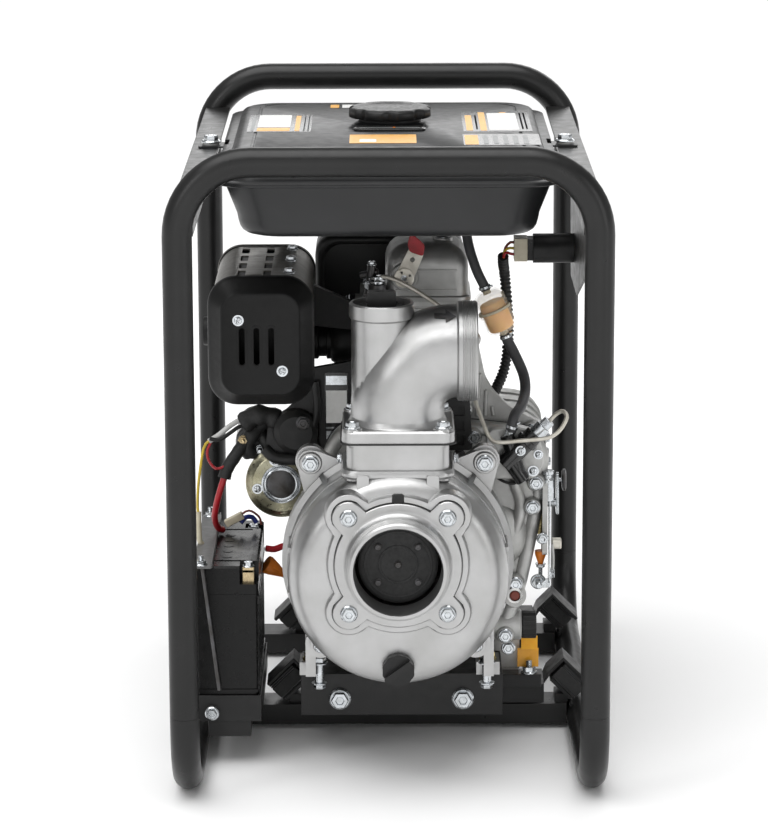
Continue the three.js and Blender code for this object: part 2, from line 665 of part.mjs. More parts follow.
// ---------------------------------------------------------------- cooling fan housing and recoil starter
const HOUSING = { front: 112, rear: 204, radius: 138, mouth: 78, wall: 3 };

function blowerHousing() {
  const { front, rear, radius, mouth, wall } = HOUSING;
  const { x, z } = SHAFT;
  return turned("y", [[radius - wall, front], [radius, front], [radius, rear - 10], [radius - 10, rear],
    [mouth, rear], [mouth, rear - wall], [radius - 11, rear - wall], [radius - wall, rear - 11],
    [radius - wall, front]], x, z, 28);
}

function recoilHousing() {
  const { rear } = HOUSING;
  const { x, z } = SHAFT;
  const y0 = rear + GAP;
  const dish = turned("y", [[84, y0], [92, y0], [92, y0 + 4], [84, y0 + 6], [76, y0 + 34], [0, y0 + 38],
    [0, y0 + 35], [73, y0 + 31], [81, y0 + 3], [84, y0]], x, z, 28);
  const slots = Array.from({ length: 8 }, (_, i) => {
    const slot = box(36, y0 + 20, -5, 66, y0 + 50, 5);
    return slot.rotateY(i * Math.PI / 4 + 0.2).translate(x, 0, z);
  });
  return cut(dish, ...slots);
}

// Grip and the first stretch of its rope, which slides into the housing through a guide.
function recoilHandle() {
  const y = HOUSING.rear + 18;
  const from = [SHAFT.x - 66, y, SHAFT.z + 62];
  const out = (d) => [from[0] - d * Math.SQRT1_2, y, from[2] + d * Math.SQRT1_2];
  const grip = strut([out(26)[0] - 24, y, out(26)[2] - 24], [out(26)[0] + 24, y, out(26)[2] + 24], 9, 10);
  return join(grip, strut(out(12), out(26), 7, 8));
}

addBlackPaint("blower_housing", blowerHousing());
addBlackPaint("recoil_housing", recoilHousing());
addPlastic("recoil_handle", recoilHandle());

// ---------------------------------------------------------------- starter motor and controls
function starterMotor() {
  const { x, z, radius, front, rear } = STARTER;
  const solenoid = [x - 34, z + 46];
  return join(
    turned("y", [[0, front], [17, front], [17, front + 4], [radius - 6, front + 5], [radius, front + 10],
      [radius, rear], [0, rear]], x, z, 24),
    bar("y", 22, front + 30, rear - 20, solenoid[0], solenoid[1], ROUND),
    bar("y", 5, front + 16, front + 31, solenoid[0] - 8, solenoid[1] + 6, 8),
    bar("y", 5, front + 16, front + 31, solenoid[0] + 8, solenoid[1] - 6, 8),
    box(solenoid[0], front + 50, z + 20, x, rear - 30, z + 50),
    bar("y", 16, rear - 1, rear + 40, x + 6, z - 4, ROUND),
  );
}

const PUMP_AXIS = { x: 152, z: 372 }; // middle of the injection pump's body

function injectionPump() {
  const { x, z } = PUMP_AXIS;
  return join(
    box(x - 34, -178, z - 26, x + 22, CASE.front + 14 - GAP, z + 22),
    strut([x, -164, z], [x + 30, -164, z + 30], 13, 12),
    strut([x + 28, -164, z + 28], [x + 38, -164, z + 38], 8, 6),
    strut([x - 6, -164, z + 16], [x - 6, -164, z + 32], 6, 8),
  );
}

// High-pressure pipe and its injector: a loop at the pump, along the front, then up to the head.
function injectorPipe() {
  const loop = [[190.9, -164, 410.9], [198, -166, 418], [207, -170, 420], [212, -177, 412], [203, -185, 400],
    [185, -187, 390], [160, -187, 386], [128, -187, 382], [115, -182, 392], [106, -172, 412],
    [100, -158, 432], [100, -136, 470], [100, -100, 528], [84, -84, 545], [58, -78, 541], [34, -76, 556],
    [10, -76, 560], [-8, -70, 548]];
  return join(
    hose(loop, 3, 38, 6),
    strut([-8, -70, 550], [-8, -70, HEAD.mid - 20], 8, 8),
    bar("z", 10, HEAD.mid - 4, HEAD.mid + 6, -8, -70, 6),
  );
}

// Control plate edge-on to the pump end, with its knob facing outwards.
function speedLever() {
  const x = 201;
  const y = -122;
  const arm = [[y - 16, 288], [y + 12, 288], [y + 10, 322], [y + 4, 338], [y - 8, 338], [y - 12, 318]];
  return join(
    plate("x", arm, x, x + 3),
    bar("x", 5, x - 12, x + 1, y, 300, 10),
    bar("x", 3, x + 2, x + 9, y, 328, 8),
    bar("x", 13, x + 8, x + 12, y, 328, ROUND),
  );
}

function speedBracket() {
  const y = -122;
  return cut(
    join(
      box(176, y - 22, 240, 196, y + 12, 336),
      box(186, y - 16, 196, 190, y + 6, 242),
      bar("y", 8, y - 30, y - 20, 184, 258, 6),
    ),
    bar("x", 5.4, 186, 200, y, 300, 10),
    box(170, y - 30, 330, 193, y + 20, 340),
    box(170, y - 13, 236, 192.3, y + 20, 340),
  );
}

function oilDipstick() {
  return join(
    bar("z", 3, 150, 200, -108, -60, 8),
    strut([-108, -60, 198], [-112, -66, 216], 9, 8),
  );
}

addBlackPaint("starter_motor", starterMotor());
addAluminium("injection_pump", injectionPump());
addSteel("injector_pipe", injectorPipe());
addSteel("speed_lever", speedLever());
add("oil_dipstick", oilDipstick(), 0xd9691e, 0.5, 0);

// ---------------------------------------------------------------- fuel line
const FILTER = { top: [118, -60, 548], low: [140, -60, 496] };

function fuelFilter() {
  return join(
    strut(FILTER.top, FILTER.low, 19, 16),
    strut([113, -60, 560], FILTER.top, 6, 8),
    strut(FILTER.low, [143.5, -60, 488], 6, 8),
  );
}

add("fuel_filter", fuelFilter(), 0xd9d0b0, 0.3, 0);
addRubber("fuel_hose_upper", hose([[112.6, -60, 560.9], [110.6, -60, 565.8], [105, -58, 580],
  [100, -50, 606], [104, -40, 632], [109, -28, 648], [109, -28, 656.4]], 5.5, 7));
addRubber("fuel_hose_lower", hose([[143.7, -60, 487.4], [146.5, -60, 480.5], [156, -66, 468], [168, -78, 446],
  [168, -100, 430], [160, -134, 424], [149, -158, 420], [146, -164, 412], [146, -164, 404.6]], 6, 16));

// ---------------------------------------------------------------- pump end
function turnedAbout(z, profile, sides = SMOOTH) {
  return turned("y", profile, SHAFT.x, z, sides);
}

function ears(y0, y1, withBolts) {
  return [-1, 1].flatMap((sideX) => [-1, 1].flatMap((sideZ) => {
    const tilt = THREE.MathUtils.degToRad(EAR.angle);
    const angle = Math.atan2(sideZ * Math.sin(tilt), sideX * Math.cos(tilt));
    const x = SHAFT.x + EAR.radius * Math.cos(angle);
    const z = SHAFT.z + EAR.radius * Math.sin(angle);
    const web = box(110, y0, -EAR.size, EAR.radius, y1, EAR.size).rotateY(-angle)
      .translate(SHAFT.x, 0, SHAFT.z);
    const made = [bar("y", EAR.size, y0, y1, x, z, 8), web];
    return withBolts ? [...made, bar("y", 9, y0 - 8, y0 + 1, x, z, 6)] : made;
  }));
}

// Lobed seat for the suction flange: a circle with four bolt lobes.
function lobed(y0, y1, grow) {
  const lobes = [-1, 1].flatMap((a) => [-1, 1].map((b) => bar("y", 19 + grow, y0, y1,
    SHAFT.x + a * PORT.bolt, PORT.z + b * PORT.bolt, 8)));
  return join(bar("y", 73 + grow, y0, y1, SHAFT.x, PORT.z, SMOOTH), ...lobes);
}

function pumpCasing() {
  const { radius, front, boss, rear, ring, wall } = CASING;
  const drum = turnedAbout(SHAFT.z, [[0, front], [radius - 26, front], [radius - 10, front + 5],
    [radius - 2, front + 16], [radius, front + 30], [radius, rear - EAR.thick], [ring, rear - EAR.thick],
    [ring, rear], [0, rear]]);
  const neckOutline = roundedOutline(SHAFT.x - NECK.halfX, NECK.y0, SHAFT.x + NECK.halfX, NECK.y1, 16, 3);
  const neck = cut(
    plate("z", neckOutline, 350, NECK.top),
    box(SHAFT.x - 80, rear, 340, SHAFT.x + 80, NECK.y1 + 1, 400),
  );
  const drain = bar("y", 15, front - 2, front + 12, SHAFT.x, 160, ROUND);
  const solid = join(drum, neck, lobed(boss, front + 1, 8), drain, ...ears(rear - EAR.thick, rear, true));
  const cavity = turnedAbout(SHAFT.z, [[0, front + wall], [radius - 26, front + wall],
    [radius - 16, front + 32], [radius - 16, rear + 1], [0, rear + 1]], 16);
  return cut(
    solid,
    cavity,
    bar("z", NECK.bore, 330, NECK.top + 1, SHAFT.x, NECK.boreY, 20),
    bar("y", PORT.bore + 2, boss - 1, front + wall + 5, SHAFT.x, PORT.z, 16),
    lobed(boss - 1, front, 1.2),
    bar("y", 10.5, front - 3, front + wall + 5, SHAFT.x, 160, ROUND),
  );
}

function suctionPort() {
  const { z, radius, bore, face, flangeFront, bolt } = PORT;
  const back = CASING.front - 1.6;
  const nipple = turnedAbout(z, [[0, face], [radius - 1.5, face], [radius, face + 2], [radius, flangeFront],
    [radius + 5, flangeFront + 1], [radius + 5, back], [0, back]]);
  const heads = [-1, 1].flatMap((a) => [-1, 1].map((b) => bar("y", 8.5, flangeFront - 6, flangeFront + 2,
    SHAFT.x + a * bolt, z + b * bolt, 6)));
  return cut(
    join(nipple, lobed(flangeFront, back, 0), ...heads),
    bar("y", bore, face - 1, back + 5, SHAFT.x, z, SMOOTH),
  );
}

function ringPlate(y0, y1, bore) {
  return cut(lobed(y0, y1, 0), bar("y", bore, y0 - 1, y1 + 1, SHAFT.x, PORT.z, SMOOTH));
}

const FLAP = { y0: -340, y1: -334, hingeZ: PORT.z + 44, radius: 46 };

// Rubber-faced disc inside the suction opening, hung from a pin across its top.
function checkValve() {
  const screws = [[0, 0], [-24, 24], [24, 24], [-24, -24], [24, -24]].map(([a, b]) => bar("y", 4,
    FLAP.y0 - 2, FLAP.y0 + 1, SHAFT.x + a, PORT.z - 2 + b, 8));
  return join(
    bar("y", FLAP.radius, FLAP.y0, FLAP.y1, SHAFT.x, PORT.z - 2, 18),
    bar("x", 4, SHAFT.x - 16, SHAFT.x + 16, FLAP.y0 + 3, FLAP.hingeZ, 8),
    ...screws,
  );
}

// Cover behind the casing, drilled for the shaft seal, with the bearing bracket and two feet.
function pumpBackCover() {
  const y0 = CASING.rear + GAP;
  const end = CASE.front - GAP;
  const body = turnedAbout(SHAFT.z, [[0, y0], [CASING.ring, y0], [CASING.ring, y0 + 14], [96, y0 + 22],
    [86, end - 14], [92, end - 12], [92, end], [0, end]]);
  const feet = [-94, 118].flatMap((x) => [
    box(x - 14, -186, BRACKET.high + GAP, x + 14, -146, 119),
    box(x - 6, -218, BRACKET.high + 8, x + 6, -152, 205),
    bar("z", 5, 118, 142, x, -170, 8),
    bar("z", 10, 118, 128, x, -170, 6),
  ]);
  return cut(
    join(body, ...ears(y0, y0 + EAR.thick, false), ...feet),
    turnedAbout(SHAFT.z, [[0, y0 + 34], [78, y0 + 34], [70, end + 1], [0, end + 1]], 16),
    bar("y", 22, y0 - 1, y0 + 40, SHAFT.x, SHAFT.z, ROUND),
    ...[-1, 1].map((side) => box(SHAFT.x + side * 80 - 25, y0 + 42, SHAFT.z - 22, SHAFT.x + side * 80 + 25,
      end - 20, SHAFT.z + 22)),
  );
}

function sealRing() {
  const y0 = CASING.rear + GAP;
  return turnedAbout(SHAFT.z, [[13.3, y0 - 8], [19, y0 - 8], [19, y0], [21.7, y0 + 1], [21.7, y0 + 20],
    [13.3, y0 + 20], [13.3, y0 - 8]], ROUND);
}

// Semi-open wheel: a back disc, a hub and four swept blades.
function impeller() {
  const back = CASING.rear - 12;
  const nose = back - IMPELLER.depth;
  const disc = turnedAbout(SHAFT.z, [[13.1, nose], [20, nose], [26, back - 6], [IMPELLER.radius, back - 5],
    [IMPELLER.radius, back], [13.1, back], [13.1, nose]], 24);
  const blades = Array.from({ length: 4 }, (_, i) => {
    const outer = [[18, -4], [40, -16], [64, -20], [86, -14], [85, -8], [64, -13], [42, -9], [20, 4]];
    const blade = plate("y", outer, nose + 2, back - 3);
    return blade.rotateY(i * Math.PI / 2).translate(SHAFT.x, 0, SHAFT.z);
  });
  return join(disc, ...blades);
}

// Square base, upright tube that turns to the right, threaded outlet and the priming cylinder.
function dischargeElbow() {
  const low = NECK.top + 1.8;
  const y = NECK.y;
  const mid = ELBOW.z;
  const baseOutline = roundedOutline(SHAFT.x - 64, y - 63, SHAFT.x + 65, y + 63, 12, 3);
  const base = plate("z", baseOutline, low, low + ELBOW.base);
  const { ring, ringX, faceX } = ELBOW;
  const path = (reach) => bentPath([[SHAFT.x, y, low + (reach ? -2 : 4)], [SHAFT.x, y, mid],
    [ELBOW.faceX + reach, y, mid]], 66, 6);
  const outer = [
    base,
    swept(path(0), ELBOW.radius, 16),
    turned("x", [[0, ringX], [ring, ringX], [ring, faceX], [0, faceX]], y, mid),
    bar("z", PRIME.radius, low + 8, PRIME.top - 2, PRIME.x, y, 16),
    bar("z", PRIME.ring, PRIME.top - 24, PRIME.top - 6, PRIME.x, y, 16),
  ];
  const bolts = [-1, 1].flatMap((a) => [-1, 1].map((b) => bar("z", 8, low + ELBOW.base - 1,
    low + ELBOW.base + 7, SHAFT.x + a * 52, y + b * 50, 6)));
  return cut(
    join(...outer, ...bolts),
    swept(path(2), ELBOW.bore, 12),
    bar("z", PRIME.radius - 6, mid, PRIME.top + 1, PRIME.x, y, 16),
  );
}

// Screw plug with a raised square grip.
function primingPlug() {
  const y = NECK.y;
  const low = PRIME.top - 14;
  return join(
    bar("z", PRIME.radius - 6.6, low, PRIME.top - 4, PRIME.x, y, 16),
    box(PRIME.x - 17, y - 8, PRIME.top - 5, PRIME.x + 17, y + 8, PRIME.top + 7),
  );
}

// Threaded plug with a T-shaped grip across a round knob.
function drainPlug() {
  const face = CASING.front - 2 - GAP;
  const grip = box(-17, face - 18, -3.5, 17, face - 6, 3.5).rotateY(Math.PI / 5).translate(SHAFT.x, 0, 160);
  return join(
    bar("y", 17, face - 10, face, SHAFT.x, 160, 18),
    bar("y", 10, face - 1, face + 14, SHAFT.x, 160, ROUND),
    grip,
  );
}

addAluminium("pump_casing", pumpCasing());
addAluminium("suction_port", suctionPort());
addRubber("suction_gasket", ringPlate(CASING.front - 1.3, CASING.front - GAP, PORT.bore + 2));
addRubber("check_valve_flap", checkValve());
addAluminium("pump_back_cover", pumpBackCover());
addSteel("shaft_seal", sealRing());
add("impeller", impeller(), 0x6b6d70, 0.6, 0.8);
addAluminium("discharge_elbow", dischargeElbow());
addPlastic("priming_plug", primingPlug());
addPlastic("drain_plug", drainPlug());

// ---------------------------------------------------------------- battery and electrics
function battery() {
  const { x0, x1, y0, y1, z0, z1 } = BATTERY;
  const posts = [[y0 + 3, z1 - 22], [y1 - 40, z1 - 22]];
  return join(
    cut(
      box(x0, y0, z0, x1, y1, z1),
      ...posts.map(([y, z]) => box(x1 - 22, y - 4, z, x1 + 1, y + 22, z1 + 1)),
    ),
    ...posts.map(([y, z]) => box(x1 - 19, y + 4, z - 1, x1 - 5, y + 10, z1 - 3)),
  );
}

// Open tray on a welded support box that stands on the runner.
function batteryTray() {
  const { x0, x1, y0, y1, z0 } = BATTERY;
  const wall = 2;
  const tray = cut(
    box(x0 - wall - GAP, y0 - wall - GAP, z0 - 24, x1 + wall + GAP, y1 + wall + GAP, z0 + 8),
    box(x0 - GAP, y0 - GAP, z0 - 22, x1 + GAP, y1 + GAP, z0 + 9),
  );
  const floor = box(x0 - 1, y0 - 1, z0 - 23, x1 + 1, y1 + 1, z0 - GAP);
  const lightening = box(x0 + 6, y0 + 6, z0 - 25, x1 - 6, y1 - 6, z0 - 5);
  const support = cut(
    box(-217, -215, 36, -166, -100, z0 - 20),
    box(-213, -211, 35, -170, -104, z0 - 19),
  );
  const bolt = bar("y", 8, y0 - wall - 7, y0 - wall, -212, z0 - 12, 10);
  return join(cut(join(tray, floor), lightening), support, bolt);
}

function batteryClamp() {
  const { x0, y0, y1, z1 } = BATTERY;
  const low = z1 + GAP;
  const front = y0 - 2;
  const rear = y1 + 6;
  return join(
    box(x0 + 1, front - 8, low, x0 + 23, rear + 8, low + 3),
    strut([x0 + 10, front - 2.6, low + 10], [x0 + 22, front - 5, 100], 2, 6),
    strut([x0 + 10, rear, low + 10], [x0 + 16, rear + 1, 100], 2, 6),
    bar("z", 7, low + 2, low + 8, x0 + 10, front - 2, 6),
    bar("z", 7, low + 2, low + 8, x0 + 10, rear, 6),
  );
}

// Side panel on the right rail with the key switch body and its connector behind it.
const KEY = { x: 223, y: -60, z: 600 };

function keyPanel() {
  const outline = [[-345, 664], [-345, 622], [-130, 556], [0, 556], [20, 664]];
  const sheet = plate("x", outline, KEY.x, KEY.x + 2.5);
  const hang = box(KEY.x, -300, 662, KEY.x + 2.5, 0, RAIL.top - RAIL.thick - GAP);
  return cut(
    join(
      sheet,
      hang,
      bar("x", 18, 174, KEY.x + 1, KEY.y, KEY.z, ROUND),
      box(152, KEY.y - 13, KEY.z - 13, 175, KEY.y + 13, KEY.z + 13),
      bar("x", 15, KEY.x + 1, KEY.x + 8, KEY.y, KEY.z, ROUND),
    ),
    bar("x", 9, KEY.x - 12, KEY.x + 10, KEY.y, KEY.z, ROUND),
  );
}

function ignitionKey() {
  const { x, y, z } = KEY;
  return join(
    bar("x", 8.4, x - 8, x + 7, y, z, 12),
    box(x + 6, y - 1.2, z - 5, x + 14, y + 1.2, z + 5),
    box(x + 12, y - 2, z - 12, x + 28, y + 2, z + 12),
  );
}

addPlastic("battery", battery());
addBlackPaint("battery_tray", batteryTray());
addSteel("battery_clamp", batteryClamp());
add("starter_cable", hose([[-172.5, -85, 362], [-178, -92, 358], [-190, -104, 338], [-198, -110, 316],
  [-203, -106, 292], [-196, -88, 262], [-186, -60, 252.5]], 5, 12), 0x9a1420, 0.5, 0);
addPlastic("wiring_loom", hose([[151.6, -60, 600], [145, -60, 600], [138, -50, 590], [141, -32, 564],
  [145, -28, 520], [146, -28, 480], [140, -40, 444], [124, -66, 416]], 6, 14));
addBlackPaint("key_panel", keyPanel());
addSteel("ignition_key", ignitionKey());

export default pump;
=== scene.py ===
"""Looks of the engine-driven trash pump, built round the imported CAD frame.

Shapes are worked out in millimetres in the CAD's own frame and scaled to metres when a piece is made.
"""

import json
import math

import bmesh
import bpy
from mathutils import Matrix, Vector

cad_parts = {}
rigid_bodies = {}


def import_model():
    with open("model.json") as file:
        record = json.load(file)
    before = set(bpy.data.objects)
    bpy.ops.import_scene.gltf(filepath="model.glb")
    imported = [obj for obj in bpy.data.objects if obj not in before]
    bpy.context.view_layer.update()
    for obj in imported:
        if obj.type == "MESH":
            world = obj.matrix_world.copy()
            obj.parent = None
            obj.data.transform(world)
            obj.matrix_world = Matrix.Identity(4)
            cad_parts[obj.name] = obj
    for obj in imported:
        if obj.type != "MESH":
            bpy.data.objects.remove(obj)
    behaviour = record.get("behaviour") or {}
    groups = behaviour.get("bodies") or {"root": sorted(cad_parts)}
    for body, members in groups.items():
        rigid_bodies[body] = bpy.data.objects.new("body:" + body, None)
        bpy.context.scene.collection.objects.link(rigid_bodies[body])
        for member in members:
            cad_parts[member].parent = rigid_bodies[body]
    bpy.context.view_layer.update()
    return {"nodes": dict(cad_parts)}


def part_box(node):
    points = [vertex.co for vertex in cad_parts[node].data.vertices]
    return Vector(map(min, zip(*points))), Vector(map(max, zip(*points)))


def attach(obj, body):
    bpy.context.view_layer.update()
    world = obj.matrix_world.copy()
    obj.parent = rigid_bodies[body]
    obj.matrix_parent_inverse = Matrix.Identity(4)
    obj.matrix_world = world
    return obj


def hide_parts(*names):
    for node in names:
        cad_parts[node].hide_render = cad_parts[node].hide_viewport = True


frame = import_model()

# ---------------------------------------------------------------- driving places, millimetres
MM = 0.001
FINE = 64       # sides of a large round part
ROUND = 32      # sides of a small round part
SMALL = 16      # sides of a wire, pin or screw
SHARP = 35      # degrees: a sharper edge than this is kept crisp or bevelled
BEVEL_STEPS = 2
WELD_GAP = 1e-5             # metres
TUBE_BEND = 83              # centre-line radius of the frame's bends
SHAFT = Vector((10, 0, 262))    # crankshaft axis, along Y
PORT_Z = 285                # suction port
PORT_BOLT = 56.5            # its four bolts, sideways and up from its centre
EAR_RADIUS = 155            # upper ears of the pump
LOW_EAR_RADIUS = 140
EAR_ANGLE = math.radians(49)
NECK_Y = -272               # axis of the discharge neck and the priming cylinder
ELBOW_Z = 518.5             # axis of the outlet
ELBOW_BEND = 66
TANK_DROP = 6               # how far the tank's floor hangs below its collision solid
TANK_BOLT_Y = 10
CRANK_BORE = 18.2
HEAD_SEAT = 535             # top face of the cylinder head
LEVER_HUB = (19, 566)       # decompression lever, across its axis
FLOOR_REACH = 80            # metres
SKY = 0.34
SUN = 2.5


def mm_box(node):
    low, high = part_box(node)
    return low / MM, high / MM


# ---------------------------------------------------------------- shapes as closed meshes
def solid(points, faces):
    mesh = bpy.data.meshes.new("solid")
    mesh.from_pydata([tuple(p) for p in points], [], faces)
    work = bmesh.new()
    work.from_mesh(mesh)
    bmesh.ops.recalc_face_normals(work, faces=work.faces)
    work.to_mesh(mesh)
    work.free()
    return mesh


def at(axis, u, v, w):
    """A point from its two places across an axis and its place w along it."""
    if axis == "x":
        return (w, u, v)
    if axis == "y":
        return (u, w, v)
    return (u, v, w)


def loft(axis, layers):
    """A closed body through outlines with equally many points; each layer is (outline, place)."""
    count = len(layers[0][0])
    points = [at(axis, u, v, w) for outline, w in layers for u, v in outline]
    last = (len(layers) - 1) * count
    faces = [list(range(count)), [last + i for i in range(count)]]
    for k in range(len(layers) - 1):
        for i in range(count):
            j = (i + 1) % count
            faces.append([k * count + i, k * count + j, (k + 1) * count + j, (k + 1) * count + i])
    return solid(points, faces)


def prism(axis, outline, start, end):
    return loft(axis, [(outline, start), (outline, end)])


def box(x0, y0, z0, x1, y1, z1):
    return prism("z", [(x0, y0), (x1, y0), (x1, y1), (x0, y1)], z0, z1)


def turned(axis, profile, a=0, b=0, sides=FINE, turn=0.0):
    """A turned body; the profile holds (radius, place) pairs and closes on the axis or on itself."""
    ring_like = profile[0] == profile[-1]
    rings = profile[:-1] if ring_like else profile
    points = []
    index = []
    for radius, place in rings:
        first = len(points)
        if radius == 0:
            points.append(at(axis, a, b, place))
            index.append([first] * sides)
            continue
        for i in range(sides):
            angle = 2 * math.pi * i / sides + turn
            points.append(at(axis, a + radius * math.cos(angle), b + radius * math.sin(angle), place))
        index.append(list(range(first, first + sides)))
    pairs = list(zip(index, index[1:]))
    if ring_like:
        pairs.append((index[-1], index[0]))
    faces = []
    for low, high in pairs:
        for i in range(sides):
            j = (i + 1) % sides
            face = list(dict.fromkeys([low[i], low[j], high[j], high[i]]))
            faces.append(face)
    for ring in ([] if ring_like else [index[0], index[-1]]):
        if ring[0] != ring[1]:
            faces.append(list(ring))
    return solid(points, faces)


def bar(axis, radius, start, end, a, b, sides=ROUND, turn=0.0):
    return turned(axis, [(0, start), (radius, start), (radius, end), (0, end)], a, b, sides, turn)


def rounded(u0, v0, u1, v1, radius, steps=8):
    corners = [(u1 - radius, v1 - radius), (u0 + radius, v1 - radius),
               (u0 + radius, v0 + radius), (u1 - radius, v0 + radius)]
    outline = []
    for k, (u, v) in enumerate(corners):
        for i in range(steps + 1):
            angle = (k + i / steps) * math.pi / 2
            outline.append((u + radius * math.cos(angle), v + radius * math.sin(angle)))
    return outline


def filleted(corners, radius, steps=6):
    """A polygon with each corner rounded off."""
    outline = []
    count = len(corners)
    for i, occlusion_shade in enumerate(corners):
        here = Vector(occlusion_shade)
        before = (Vector(corners[i - 1]) - here)
        after = (Vector(corners[(i + 1) % count]) - here)
        reach = min(radius, before.length / 2.1, after.length / 2.1)
        start = here + before.normalized() * reach
        end = here + after.normalized() * reach
        for k in range(steps + 1):
            t = k / steps
            point = start * (1 - t) ** 2 + here * 2 * t * (1 - t) + end * t * t
            outline.append((point.x, point.y))
    return outline


def bent_path(corners, bend, steps=14):
    points = [Vector(c) for c in corners]
    path = [points[0]]
    for before, here, after in zip(points, points[1:], points[2:]):
        into = (here - before).normalized()
        out = (after - here).normalized()
        turn = into.angle(out)
        start = here - into * bend * math.tan(turn / 2)
        side = (out - into * out.dot(into)).normalized()
        for k in range(steps + 1):
            angle = turn * k / steps
            path.append(start + into * bend * math.sin(angle) + side * bend * (1 - math.cos(angle)))
    path.append(points[-1])
    return path


def smooth_path(points, step=4.0):
    """A Catmull-Rom curve through the points, cut into pieces of about one step."""
    places = [Vector(p) for p in points]
    places = [places[0] * 2 - places[1]] + places + [places[-1] * 2 - places[-2]]
    path = []
    for a, b, c, d in zip(places, places[1:], places[2:], places[3:]):
        count = max(2, round((c - b).length / step))
        for i in range(count):
            t = i / count
            path.append(0.5 * (2 * b + (c - a) * t + (2 * a - 5 * b + 4 * c - d) * t * t
                               + (3 * b - a - 3 * c + d) * t ** 3))
    path.append(places[-2])
    return path


def swept(path, radius, sides=ROUND, wave=None):
    """A round bar along a path; wave(i) may change the radius at step i."""
    points = []
    tangents = []
    for i in range(len(path)):
        ahead = path[min(i + 1, len(path) - 1)] - path[max(i - 1, 0)]
        tangents.append(ahead.normalized())
    across = tangents[0].orthogonal().normalized()
    for i, centre in enumerate(path):
        if i:
            across = tangents[i - 1].rotation_difference(tangents[i]) @ across
        up = tangents[i].cross(across)
        size = radius * (wave(i) if wave else 1)
        for k in range(sides):
            angle = 2 * math.pi * k / sides
            points.append(centre + across * size * math.cos(angle) + up * size * math.sin(angle))
    last = (len(path) - 1) * sides
    faces = [list(range(sides)), [last + k for k in range(sides)]]
    for i in range(len(path) - 1):
        for k in range(sides):
            j = (k + 1) % sides
            faces.append([i * sides + k, i * sides + j, (i + 1) * sides + j, (i + 1) * sides + k])
    return solid(points, faces)


def wire(points, radius, sides=SMALL, wave=None, step=4.0):
    return swept(smooth_path(points, step), radius, sides, wave)


def strut(start, end, radius, sides=ROUND):
    return swept([Vector(start), Vector(end)], radius, sides)


def group(meshes):
    """Several closed bodies as one mesh."""
    work = bmesh.new()
    for mesh in meshes:
        work.from_mesh(mesh)
    made = bpy.data.meshes.new("group")
    work.to_mesh(made)
    work.free()
    return made


def moved(mesh, x=0, y=0, z=0, turn=None):
    """A copy of a mesh, turned about the origin and then shifted."""
    made = mesh.copy()
    if turn:
        made.transform(Matrix.Rotation(turn[1], 4, turn[0]))
    made.transform(Matrix.Translation((x, y, z)))
    return made


def boolean(base, tools, operation):
    scene = bpy.context.scene.collection.objects
    host = bpy.data.objects.new("host", base)
    scene.link(host)
    helpers = []
    for tool in tools:
        helper = bpy.data.objects.new("tool", tool)
        scene.link(helper)
        helpers.append(helper)
        modifier = host.modifiers.new("step", "BOOLEAN")
        modifier.operation = operation
        modifier.solver = "MANIFOLD"
        modifier.object = helper
    evaluated = host.evaluated_get(bpy.context.evaluated_depsgraph_get())
    made = bpy.data.meshes.new_from_object(evaluated)
    for used in [host, *helpers]:
        bpy.data.objects.remove(used)
    if not made.vertices:
        raise ValueError("a boolean step left nothing")
    return made


def join(base, *others):
    return boolean(base, others, "UNION")


def cut(base, *tools):
    return boolean(base, tools, "DIFFERENCE")


def link_to_scene(made):
    bpy.context.scene.collection.objects.link(made)


def piece(name, shape, look, body="root", replaces=(), bevel=0.0, sharp=SHARP):
    """Makes a finished object from one or more meshes in millimetres and hangs it on its body."""
    mesh = group(shape) if isinstance(shape, list) else shape
    mesh.transform(Matrix.Scale(MM, 4))
    mesh.materials.clear()
    mesh.materials.append(LOOK[look])
    mesh.shade_smooth()
    mesh.set_sharp_from_angle(angle=math.radians(sharp))
    made = bpy.data.objects.new(name, mesh)
    link_to_scene(made)
    if bevel:
        soften(made, bevel, sharp)
    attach(made, body)
    if replaces:
        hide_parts(*replaces)


def soften(made, bevel, sharp=SHARP):
    edge = made.modifiers.new("bevel", "BEVEL")
    edge.width = bevel * MM
    edge.segments = BEVEL_STEPS
    edge.limit_method = "ANGLE"
    edge.angle_limit = math.radians(sharp)
    edge.use_clamp_overlap = True
    even = made.modifiers.new("normals", "WEIGHTED_NORMAL")
    even.keep_sharp = True


def dress(node, look, bevel=0.6):
    """Gives a CAD node whose shape is right its material and softened edges."""
    made = frame["nodes"][node]
    made.data.materials.clear()
    made.data.materials.append(LOOK[look])
    made.data.shade_smooth()
    merged = made.modifiers.new("weld", "WELD")
    merged.merge_threshold = WELD_GAP
    soften(made, bevel)


